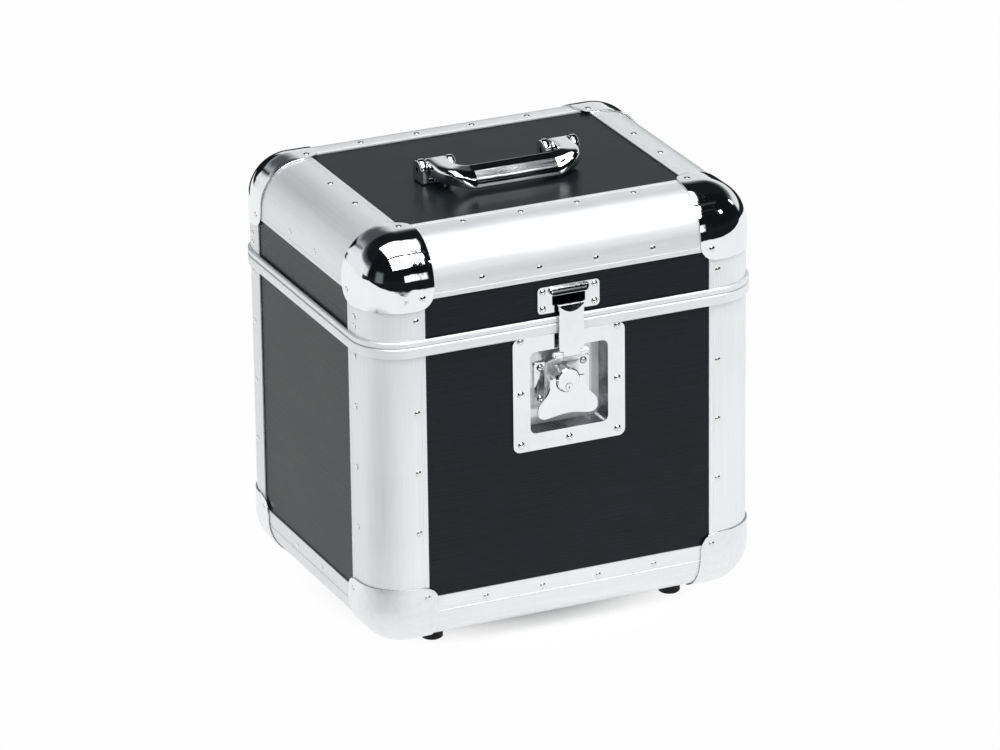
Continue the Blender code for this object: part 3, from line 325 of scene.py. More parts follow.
def dress(node: str, body: str, finish: bpy.types.Material, slot: str, angle: float = CREASE,
          edge: float = 0.0) -> bpy.types.Object:
    """Stand a smooth welded copy in a CAD node's place.

    Args:
        node: The CAD node's name.
        body: The body that the piece moves with.
        finish: Its material.
        slot: The record's material slot; not used.
        angle: Edges sharper than this stay sharp, in degrees.
        edge: Width of a small rounding on the sharp edges, in metres.

    Returns:
        The piece.
    """
    shape = welded(node)
    bmesh.ops.dissolve_limit(shape, angle_limit=math.radians(FLAT_DEGREES), verts=shape.verts,
                             edges=shape.edges)
    item = kept(shape, f"{node}_dressed")
    item.data.materials.append(finish)
    shade(item, angle, edge)
    settle(item, body, slot, node)
    return item


def closed_piece(name: str, points: Sequence[Vector],
                 faces: Sequence[tuple[int, ...]]) -> bpy.types.Object:
    """Make a closed mesh whose faces point outwards.

    Args:
        name: The piece's name.
        points: Its corners.
        faces: Its faces as corner numbers.

    Returns:
        The new object.
    """
    mesh = bpy.data.meshes.new(name)
    mesh.from_pydata([tuple(point) for point in points], [], faces)
    shape = bmesh.new()
    shape.from_mesh(mesh)
    bmesh.ops.recalc_face_normals(shape, faces=shape.faces)
    shape.to_mesh(mesh)
    shape.free()
    return linked(name, mesh)


def tube_faces(rings: int, size: int) -> list[tuple[int, ...]]:
    """Return the faces of a tube made of equal rings of points, closed at both ends.

    Args:
        rings: How many rings it has.
        size: How many points each ring has.

    Returns:
        The faces as point numbers.
    """
    faces: list[tuple[int, ...]] = []
    for near in range(0, (rings - 1) * size, size):
        for index in range(size):
            after = (index + 1) % size
            faces.append((near + index, near + after, near + size + after, near + size + index))
    faces.append(tuple(range(size)))
    faces.append(tuple(range((rings - 1) * size, rings * size)))
    return faces


def applied(item: bpy.types.Object) -> bpy.types.Object:
    """Turn a piece and its modifiers into one plain mesh."""
    graph = bpy.context.evaluated_depsgraph_get()
    mesh = bpy.data.meshes.new_from_object(item.evaluated_get(graph))
    mesh.name = item.name
    item.modifiers.clear()
    item.data = mesh
    return item


def fused(item: bpy.types.Object, tools: Sequence[bpy.types.Object]) -> bpy.types.Object:
    """Join pieces into one solid and keep it as a plain mesh.

    Args:
        item: The piece that the others are joined to.
        tools: The other pieces, which are used up.

    Returns:
        The joined piece.
    """
    for tool in tools:
        joint = item.modifiers.new("join", "BOOLEAN")
        joint.operation = "UNION"
        joint.solver = "EXACT"
        joint.object = tool
    applied(item)
    for tool in tools:
        bpy.data.objects.remove(tool)
    return item


def settle(item: bpy.types.Object, body: str, slot: str, *nodes: str) -> None:
    """Attach a piece to the body that it rides on, and hide the CAD nodes that it stands for."""
    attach(item, body)
    if nodes:
        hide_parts(*nodes)


def repaint(node: str, finish: bpy.types.Material) -> None:
    """Give a CAD node that stays a finer material."""
    for holder in FRAME["nodes"][node].material_slots:
        holder.link = "OBJECT"
        holder.material = finish


@dataclass
class CaseBox:
    """The outside of the case, read from the frame."""

    half_width: float
    front: float
    back: float
    bottom: float
    top: float
    radius: float = 38.0 * MM

    @classmethod
    def from_frame(cls) -> "CaseBox":
        """Measure the case on its edge extrusions."""
        low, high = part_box("base_post_front_left")
        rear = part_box("base_post_back_left")[1]
        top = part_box("lid_top_rail_front")[1]
        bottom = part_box("base_bottom_rail_front")[0]
        return cls(-low.x, low.y, rear.y, bottom.z, top.z)

    def on_wall(self, wall: str, across: float, z: float, proud: float = 0.0) -> Vector:
        """Return a point on an upright wall.

        Args:
            wall: The wall's name.
            across: The way along the wall from its middle.
            z: The height.
            proud: How far the point stands out from the wall.

        Returns:
            The point.
        """
        sign = SIGN[wall]
        if wall in ENDS:
            place = self.back if sign > 0 else self.front
            return Vector((across, place + sign * proud, z))
        middle = (self.front + self.back) / 2
        return Vector((sign * (self.half_width + proud), middle + across, z))

    def half(self, wall: str) -> float:
        """Return half the width of an upright wall."""
        return self.half_width if wall in ENDS else (self.back - self.front) / 2

    def level_face(self, body: str) -> tuple[int, float]:
        """Return which way a body's level outer face looks, and its height."""
        return (1, self.top) if body == "lid" else (-1, self.bottom)


@dataclass
class EdgeExtrusions:
    """The rounded posts, rails and closure bands."""

    finishes: Finishes

    def build(self) -> None:
        """Dress every extrusion with grain along its length."""
        alloy = self.finishes.aluminium
        slot = "brushed_aluminium"
        for corner in CORNERS:
            dress(f"base_post_{corner}", "base", alloy[Grain.ALONG_Z], slot)
            dress(f"lid_post_{corner}", "lid", alloy[Grain.ALONG_Z], slot)
        for wall in ENDS + SIDES:
            grain = Grain.ALONG_X if wall in ENDS else Grain.ALONG_Y
            dress(f"base_bottom_rail_{wall}", "base", alloy[grain], slot)
            dress(f"lid_top_rail_{wall}", "lid", alloy[grain], slot)
        dress("base_closure_band", "base", alloy[Grain.LEVEL], slot)
        dress("lid_closure_band", "lid", alloy[Grain.LEVEL], slot)
        LOG.info("edge extrusions: 16 lengths and 2 bands")


@dataclass
class Panels:
    """The laminated panels of base and lid."""

    finishes: Finishes

    def build(self) -> None:
        """Repaint the panels with a level grain."""
        for part in ("base", "lid"):
            for wall in ENDS:
                repaint(f"{part}_{wall}_panel", self.finishes.laminate[Grain.ALONG_X])
            for wall in SIDES:
                repaint(f"{part}_{wall}_panel", self.finishes.laminate[Grain.ALONG_Y])
        repaint("lid_top_panel", self.finishes.top_laminate)
        repaint("base_bottom_panel", self.finishes.laminate[Grain.ALONG_X])
        LOG.info("panels: 10")


@dataclass
class CornerCaps:
    """The eight pressed caps, each drawn over a rounded corner."""

    finishes: Finishes
    box: CaseBox
    # Each edge of a cap's CAD mesh is cut this often.
    cuts: int = 2
    # Points nearer to the core than this lie inside the cap and stay.
    inside: float = 0.1 * MM

    def build(self) -> None:
        """Make every cap as a fine smooth shell over its CAD node."""
        for corner in CORNERS:
            self.cap(f"base_cap_{corner}", "base", self.finishes.satin_cap, "satin_cap")
            self.cap(f"lid_cap_{corner}", "lid", self.finishes.chrome, "chrome_cap")
        LOG.info("corner caps: 8")

    def core(self, point: Vector) -> Vector:
        """Return the nearest point of the box that the rounded edges are struck from."""
        box, inset = self.box, self.box.radius
        return Vector((
            min(max(point.x, -box.half_width + inset), box.half_width - inset),
            min(max(point.y, box.front + inset), box.back - inset),
            min(max(point.z, box.bottom + inset), box.top - inset),
        ))

    def cap(self, node: str, body: str, finish: bpy.types.Material, slot: str) -> None:
        """Refine one cap and set its new points on the true round.

        Args:
            node: The cap's CAD node.
            body: The body that it moves with.
            finish: Its material.
            slot: The record's material slot; not used.
        """
        shape = welded(node)
        reach = shape.verts.layers.float.new("reach")
        for vert in shape.verts:
            vert[reach] = (vert.co - self.core(vert.co)).length
        bmesh.ops.subdivide_edges(shape, edges=shape.edges, cuts=self.cuts, use_grid_fill=True)
        for vert in shape.verts:
            core = self.core(vert.co)
            out = vert.co - core
            if out.length > self.inside:
                vert.co = core + out.normalized() * vert[reach]
        shape.verts.layers.float.remove(reach)
        item = kept(shape, f"{node}_pressed")
        item.data.materials.append(finish)
        shade(item, ROUND_CREASE)
        settle(item, body, slot, node)


def started_tree(name: str, inputs: dict[str, str]) -> tuple[bpy.types.NodeTree, dict[str, str]]:
    """Start a geometry node tree that takes a mesh and some named inputs.

    Args:
        name: The tree's name.
        inputs: Socket types by input name.

    Returns:
        The tree, and each input's identifier by its name.
    """
    tree = bpy.data.node_groups.new(name, "GeometryNodeTree")
    face = tree.interface
    face.new_socket("Geometry", in_out="INPUT", socket_type="NodeSocketGeometry")
    identifiers = {title: face.new_socket(title, in_out="INPUT", socket_type=kind).identifier
                   for title, kind in inputs.items()}
    face.new_socket("Geometry", in_out="OUTPUT", socket_type="NodeSocketGeometry")
    return tree, identifiers


def ended_tree(tree: bpy.types.NodeTree, entry: bpy.types.Node,
               shape: bpy.types.NodeSocket) -> None:
    """End a tree with real geometry in the finish that it was given.

    Args:
        tree: The tree.
        entry: Its group input, with a socket named Finish.
        shape: The geometry that it made.
    """
    real = add(tree, "GeometryNodeRealizeInstances", links={"Geometry": shape})
    painted = add(tree, "GeometryNodeSetMaterial",
                  links={"Geometry": real.outputs[0], "Material": entry.outputs["Finish"]})
    add(tree, "NodeGroupOutput", links={0: painted.outputs[0]})


def grown(name: str, seed: bpy.types.Mesh, tree: bpy.types.NodeTree,
          inputs: dict) -> bpy.types.Object:
    """Run a node tree on a mesh and keep the result as a plain mesh.

    Args:
        name: The piece's name.
        seed: The mesh that the tree starts from.
        tree: The geometry node tree.
        inputs: Values by socket identifier.

    Returns:
        The piece, without a modifier.
    """
    item = linked(name, seed)
    modifier = item.modifiers.new("shape", "NODES")
    modifier.node_group = tree
    for identifier, value in inputs.items():
        modifier[identifier] = value
    return applied(item)


@dataclass(frozen=True)
class RivetPattern:
    """One kind of rivet on one body."""

    name: str
    body: str
    slot: str
    head: float
    rise: float
    spots: tuple[tuple[Vector, Vector], ...]


class RivetTree:
    """The node tree that puts a round rivet head on every point of a mesh."""

    SEGMENTS = 16
    # How far the head's buried underside lies below its seat, as a share of its rise.
    BURIED = 0.25
    WELD = 0.002 * MM
    # Ring by ring from the middle of the head to its buried underside: reach and height shares.
    HOLLOW = ((0.0, 0.20), (0.22, 0.20), (0.29, 0.94), (0.40, 1.0), (0.62, 0.88), (0.84, 0.55),
              (1.0, 0.05), (1.0, -BURIED), (0.0, -BURIED))
    DOMED = ((0.0, 1.0), (0.20, 0.97), (0.40, 0.89), (0.60, 0.74), (0.80, 0.50), (0.95, 0.20),
             (1.0, 0.0), (1.0, -BURIED), (0.0, -BURIED))

    def __init__(self, rings: Sequence[tuple[float, float]]) -> None:
        """Build the tree.

        Args:
            rings: The head's rings as shares of its radius and rise.
        """
        tree, self.ids = started_tree("rivet_heads", {
            "Head Radius": "NodeSocketFloat", "Head Rise": "NodeSocketFloat",
            "Finish": "NodeSocketMaterial"})
        entry = add(tree, "NodeGroupInput")
        grid = add(tree, "GeometryNodeMeshGrid",
                   {"Size X": 1.0, "Size Y": 1.0, "Vertices X": self.SEGMENTS + 1,
                    "Vertices Y": len(rings)})
        spot = add(tree, "GeometryNodeInputPosition").outputs[0]
        parts = add(tree, "ShaderNodeSeparateXYZ", links={0: spot})
        turn = add(tree, "ShaderNodeMath",
                   {"operation": "MULTIPLY_ADD", 1: 2 * math.pi, 2: math.pi},
                   {0: parts.outputs["X"]}).outputs[0]
        share = add(tree, "ShaderNodeMath", {"operation": "ADD", 1: 0.5},
                    {0: parts.outputs["Y"]}).outputs[0]
        reach = self.curve(tree, share, [ring[0] for ring in rings], 1.0)
        level = self.curve(tree, share, [self.BURIED + ring[1] for ring in rings],
                           self.BURIED + 1.0)
        out = add(tree, "ShaderNodeMath", {"operation": "MULTIPLY"},
                  {0: reach, 1: entry.outputs["Head Radius"]}).outputs[0]
        low = add(tree, "ShaderNodeMath", {"operation": "SUBTRACT", 1: self.BURIED},
                  {0: level}).outputs[0]
        high = add(tree, "ShaderNodeMath", {"operation": "MULTIPLY"},
                   {0: low, 1: entry.outputs["Head Rise"]}).outputs[0]
        cosine = add(tree, "ShaderNodeMath", {"operation": "COSINE"}, {0: turn}).outputs[0]
        sine = add(tree, "ShaderNodeMath", {"operation": "SINE"}, {0: turn}).outputs[0]
        x = add(tree, "ShaderNodeMath", {"operation": "MULTIPLY"}, {0: out, 1: cosine})
        y = add(tree, "ShaderNodeMath", {"operation": "MULTIPLY"}, {0: out, 1: sine})
        point = add(tree, "ShaderNodeCombineXYZ",
                    links={"X": x.outputs[0], "Y": y.outputs[0], "Z": high})
        shaped = add(tree, "GeometryNodeSetPosition",
                     links={"Geometry": grid.outputs["Mesh"], "Position": point.outputs[0]})
        whole = add(tree, "GeometryNodeMergeByDistance", {"Distance": self.WELD},
                    {"Geometry": shaped.outputs[0]})
        smooth = add(tree, "GeometryNodeSetShadeSmooth", {"Shade Smooth": True},
                     {"Geometry": whole.outputs[0]})
        facing = add(tree, "GeometryNodeInputNamedAttribute",
                     {"data_type": "FLOAT_VECTOR", "Name": "facing"})
        align = add(tree, "FunctionNodeAlignRotationToVector", {"axis": "Z"},
                    {"Vector": facing.outputs[0]})
        placed = add(tree, "GeometryNodeInstanceOnPoints",
                     links={"Points": entry.outputs["Geometry"],
                            "Instance": smooth.outputs[0], "Rotation": align.outputs[0]})
        ended_tree(tree, entry, placed.outputs["Instances"])
        self.tree = tree

    @staticmethod
    def curve(tree: bpy.types.NodeTree, factor: bpy.types.NodeSocket, values: Sequence[float],
              top: float) -> bpy.types.NodeSocket:
        """Add a straight-sided float curve through evenly spaced values.

        Args:
            tree: The tree that gets the nodes.
            factor: The socket that drives the curve, from 0 to 1.
            values: The heights at even steps.
            top: The height that stands for 1 in the curve.

        Returns:
            The curve's value times top.
        """
        node = add(tree, "ShaderNodeFloatCurve", links={"Value": factor})
        line = node.mapping.curves[0]
        last = len(values) - 1
        for index, value in enumerate(values):
            place = (index / last, value / top)
            if index == 0:
                line.points[0].location = place
            elif index == last:
                line.points[-1].location = place
            else:
                line.points.new(*place)
        for handle in line.points:
            handle.handle_type = "VECTOR"
        node.mapping.update()
        return add(tree, "ShaderNodeMath", {"operation": "MULTIPLY", 1: top},
                   {0: node.outputs[0]}).outputs[0]

    def set(self, pattern: RivetPattern, finish: bpy.types.Material) -> None:
        """Make all the rivets of one pattern as one plain mesh.

        Args:
            pattern: Where the rivets go and how large they are.
            finish: Their material.
        """
        points = bpy.data.meshes.new(f"{pattern.name}_points")
        points.from_pydata([spot for spot, _ in pattern.spots], [], [])
        facing = points.attributes.new("facing", "FLOAT_VECTOR", "POINT")
        for index, (_, outward) in enumerate(pattern.spots):
            facing.data[index].vector = outward
        inputs = {self.ids["Head Radius"]: pattern.head, self.ids["Head Rise"]: pattern.rise,
                  self.ids["Finish"]: finish}
        item = grown(pattern.name, points, self.tree, inputs)
        settle(item, pattern.body, pattern.slot)


class BeadTree:
    """The node tree that lays a thin round bead along every edge of a mesh."""

    SIDES = 8

    def __init__(self) -> None:
        """Build the tree."""
        tree, self.ids = started_tree("lip_bead", {
            "Bead Radius": "NodeSocketFloat", "Finish": "NodeSocketMaterial"})
        entry = add(tree, "NodeGroupInput")
        line = add(tree, "GeometryNodeMeshToCurve", links={"Mesh": entry.outputs["Geometry"]})
        section = add(tree, "GeometryNodeCurvePrimitiveCircle", {"Resolution": self.SIDES},
                      {"Radius": entry.outputs["Bead Radius"]})
        swept = add(tree, "GeometryNodeCurveToMesh", {"Fill Caps": True},
                    {"Curve": line.outputs[0], "Profile Curve": section.outputs[0]})
        smooth = add(tree, "GeometryNodeSetShadeSmooth", {"Shade Smooth": True},
                     {"Geometry": swept.outputs[0]})
        ended_tree(tree, entry, smooth.outputs[0])
        self.tree = tree

    def lay(self, name: str, body: str, slot: str, lines: Sequence[tuple[Vector, Vector]],
            radius: float, finish: bpy.types.Material) -> None:
        """Lay one piece of beads along straight lines.

        Args:
            name: The piece's name.
            body: The body that it moves with.
            slot: The record's material slot; not used.
            lines: Start and end of each bead.
            radius: The bead's radius.
            finish: Its material.
        """
        ends = [end for line in lines for end in line]
        edges = [(2 * index, 2 * index + 1) for index in range(len(lines))]
        seed = bpy.data.meshes.new(f"{name}_lines")
        seed.from_pydata(ends, edges, [])
        item = grown(name, seed, self.tree,
                     {self.ids["Bead Radius"]: radius, self.ids["Finish"]: finish})
        settle(item, body, slot)


@dataclass
class LipBeads:
    """The fine raised line that runs near the edge of every flange."""

    finishes: Finishes
    radius: float = 0.35 * MM
    sunk: float = 0.15 * MM
    inset: float = 4.0 * MM
    # On the bottom rails the line lies lower, where the round has already begun.
    bottom_inset: float = 14.0 * MM
    bottom_drop: float = 0.33 * MM

    def build(self, tree: BeadTree) -> None:
        """Lay the beads of the base and of the lid."""
        finish = self.finishes.aluminium[Grain.ALONG_Z]
        for body, rail in (("base", "base_bottom_rail"), ("lid", "lid_top_rail")):
            lines = [*self.post_lines(f"{body}_post"), *self.rail_lines(rail, body)]
            tree.lay(f"{body}_lip_beads", body, "brushed_aluminium", lines, self.radius, finish)
            LOG.info("%s lip beads: %d", body, len(lines))

    @staticmethod
    def across(low: float, high: float, sign: int, sunk: float,
               inset: float) -> tuple[float, float]:
        """Find two levels on a flange.

        Args:
            low: Where the extrusion begins on this axis.
            high: Where it ends.
            sign: 1 where its outer face is at the high end, and -1 at the low end.
            sunk: How deep the bead lies in the outer face.
            inset: How far it lies from the flange's edge at the other end.

        Returns:
            The level in the outer face and the one near the edge.
        """
        outer, inner = (high, low) if sign > 0 else (low, high)
        return outer - sign * sunk, inner + sign * inset

    def post_lines(self, kind: str) -> Iterable[tuple[Vector, Vector]]:
        """Yield the two lines on each post."""
        for end in ENDS:
            for side in SIDES:
                low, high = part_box(f"{kind}_{end}_{side}")
                face_x, line_x = self.across(low.x, high.x, SIGN[side], self.sunk, self.inset)
                face_y, line_y = self.across(low.y, high.y, SIGN[end], self.sunk, self.inset)
                for x, y in ((line_x, face_y), (face_x, line_y)):
                    yield Vector((x, y, low.z)), Vector((x, y, high.z))

    def rail_lines(self, kind: str, body: str) -> Iterable[tuple[Vector, Vector]]:
        """Yield the two lines on each level rail."""
        level, inset, drop = ((1, self.inset, 0.0) if body == "lid" else
                              (-1, self.bottom_inset, self.bottom_drop))
        for wall in ENDS + SIDES:
            axis = 1 if wall in ENDS else 0
            low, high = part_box(f"{kind}_{wall}")
            face_z, line_z = self.across(low.z, high.z, level, self.sunk, inset)
            face, line = self.across(low[axis], high[axis], SIGN[wall], self.sunk + drop,
                                     self.inset)
            for place, z in ((face, line_z), (line, face_z)):
                start, end = low.copy(), high.copy()
                start[axis], start.z = place, z
                end[axis], end.z = place, z
                yield start, end


@dataclass
class FlangeRivets:
    """The rivets along the extrusions, and one on each face of each cap."""

    finishes: Finishes
    box: CaseBox
    head: float = 2.8 * MM
    rise: float = 0.8 * MM
    # The rivets' line lies this far inside a flange's edge.
    line: float = 11.0 * MM
    flange: float = 49.0 * MM
    cap_line: float = 47.0 * MM
    cap_sheet: float = 1.4 * MM
    # Places along the rails from the middle of a wall, and heights above the floor.
    along_front: tuple[float, ...] = (-78.5 * MM, -26.0 * MM, 26.0 * MM, 78.5 * MM)
    along_side: tuple[float, ...] = (-28.0 * MM, 25.0 * MM)
    post_inset: float = 41.0 * MM
    side_post_inset: float = 36.0 * MM
    base_heights: tuple[float, ...] = (115.0 * MM, 169.5 * MM, 223.5 * MM)
    side_base_heights: tuple[float, ...] = (115.0 * MM, 169.5 * MM, 224.5 * MM, 269.5 * MM)
    lid_heights: tuple[float, ...] = (305.5 * MM,)
    side_lid_heights: tuple[float, ...] = (296.5 * MM, 305.0 * MM)

    def build(self, tree: RivetTree) -> None:
        """Set the rivets of the base and of the lid."""
        for body in ("base", "lid"):
            rails = tuple(self.rails(body)) + tuple(self.posts(body))
            caps = tuple(self.caps(body))
            sheet = "chrome_cap" if body == "lid" else "satin_cap"
            for kind, slot, spots in (("flange", "brushed_aluminium", rails),
                                      ("cap", sheet, caps)):
                tree.set(RivetPattern(f"{body}_{kind}_rivets", body, slot, self.head, self.rise,
                                      spots), self.finishes.rivet)
            LOG.info("%s rivets: %d", body, len(rails) + len(caps))

    def rails(self, body: str) -> Iterable[tuple[Vector, Vector]]:
        """Yield the rivets along the level rails: on the upright face and on the level one."""
        inner = self.flange - self.line
        level, z = self.box.level_face(body)
        for wall in ENDS + SIDES:
            for across in self.along_front if wall in ENDS else self.along_side:
                yield self.box.on_wall(wall, across, z - level * inner), OUTWARD[wall]
                yield self.box.on_wall(wall, across, z, -inner), Vector((0, 0, level))

    def posts(self, body: str) -> Iterable[tuple[Vector, Vector]]:
        """Yield the rivets on the flanges of the upright posts."""
        ends = self.lid_heights if body == "lid" else self.base_heights
        sides = self.side_lid_heights if body == "lid" else self.side_base_heights
        for wall in ENDS + SIDES:
            inset, heights = ((self.post_inset, ends) if wall in ENDS else
                              (self.side_post_inset, sides))
            reach = self.box.half(wall) - inset
            for across in (-reach, reach):
                for z in heights:
                    yield self.box.on_wall(wall, across, z), OUTWARD[wall]

    def caps(self, body: str) -> Iterable[tuple[Vector, Vector]]:
        """Yield one rivet for each face of each cap."""
        level, z = self.box.level_face(body)
        for end in ENDS:
            for side in SIDES:
                corner = self.box.on_wall(end, SIGN[side] * self.box.half_width, z)
                ways_out = (OUTWARD[end], OUTWARD[side], Vector((0, 0, level)))
                middle = corner - sum(ways_out, Vector()) * self.cap_line
                for out in ways_out:
                    yield middle + out * (self.cap_line + self.cap_sheet), out


@dataclass
class Latch:
    """The recessed rotary latch and its keeper."""

    finishes: Finishes
    box: CaseBox
    dish_head: float = 3.3 * MM
    dish_rise: float = 1.6 * MM
    keeper_head: float = 3.0 * MM
    keeper_rise: float = 1.5 * MM
    plate_head: float = 3.3 * MM
    plate_rise: float = 1.8 * MM
    edge_break: float = 0.3 * MM
    dish_crease: float = 25.0
    # The hook's thumb nick is shallow, so its border counts as a sharp edge.
    hook_crease: float = 4.0
    # The dish's walls begin this far behind its face, and lean less than this towards it.
    rim_depth: float = 2.0 * MM
    wall_lean: float = 0.6
    # The keeper's rivets: their seat in front of the panel, and their places on the plate.
    keeper_seat: float = 0.4 * MM
    keeper_across: float = 23.8 * MM
    keeper_inset: float = 4.3 * MM
    # The other rivets' places as (x, z), in mm.
    dish_places: tuple[tuple[float, float], ...] = (
        (-44.7, 271.5), (44.7, 271.5), (-44.7, 223.7), (44.7, 223.7), (-44.7, 178.0),
        (44.7, 178.0), (0.0, 178.2))
    plate_places: tuple[tuple[float, float], ...] = (
        (-20.0, 239.0), (20.0, 239.0), (-20.0, 211.0), (20.0, 211.0))

    def build(self, tree: RivetTree) -> None:
        """Dress the latch's pieces and set its rivets."""
        nickel, chrome = self.finishes.nickel, self.finishes.chrome
        dish = dress("latch_dish", "base", nickel, "nickel_latch", self.dish_crease)
        dish.data.materials.append(self.finishes.painted_shade_wall)
        dish.data.materials.append(self.finishes.painted_light_nickel)
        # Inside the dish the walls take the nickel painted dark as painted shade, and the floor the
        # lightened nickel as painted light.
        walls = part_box("latch_dish")[0].y + self.rim_depth
        for face in dish.data.polygons:
            if face.center.y > walls:
                face.material_index = 1 if abs(face.normal.y) < self.wall_lean else 2
        dress("latch_base_plate", "base", nickel, "nickel_latch", edge=self.edge_break)
        dress("keeper_plate", "lid", nickel, "nickel_latch")
        dress("latch_carriage", "carriage", self.finishes.painted_light_nickel, "nickel_latch")
        dress("latch_hook_pin", "carriage", self.finishes.painted_light_nickel, "nickel_latch", ROUND_CREASE)
        dress("latch_hook_arm", "hook", nickel, "nickel_latch", self.hook_crease)
        dress("latch_rotor", "rotor", chrome, "chrome_fitting")
        dress("latch_key_plug", "key_plug", chrome, "nickel_latch")
        dress("latch_thumb_flap", "flap", chrome, "chrome_fitting")
        for name, body, head, rise, spots in (
                ("latch_dish_rivets", "base", self.dish_head, self.dish_rise,
                 self.spots("latch_dish", self.dish_places)),
                ("keeper_rivets", "lid", self.keeper_head, self.keeper_rise,
                 self.keeper_spots()),
                ("latch_base_plate_rivets", "base", self.plate_head, self.plate_rise,
                 self.spots("latch_base_plate", self.plate_places))):
            tree.set(RivetPattern(name, body, "nickel_latch", head, rise, tuple(spots)),
                     self.finishes.rivet)
        LOG.info("latch: 9 pieces and its rivets")

    @staticmethod
    def spots(node: str, places: Iterable[tuple[float, float]]
              ) -> Iterable[tuple[Vector, Vector]]:
        """Yield the rivets on a node's front face.

        Args:
            node: The CAD node that they sit on.
            places: Their (x, z), in mm.

        Yields:
            Each rivet's place and outward direction.
        """
        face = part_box(node)[0].y
        for x, z in places:
            yield Vector((x * MM, face, z * MM)), Vector((0, -1, 0))

    def keeper_spots(self) -> Iterable[tuple[Vector, Vector]]:
        """Yield the keeper's four rivets."""
        low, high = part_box("keeper_plate")
        for x in (-self.keeper_across, self.keeper_across):
            for z in (low.z + self.keeper_inset, high.z - self.keeper_inset):
                yield (Vector((x, self.box.front - self.keeper_seat, z)), Vector((0, -1, 0)))


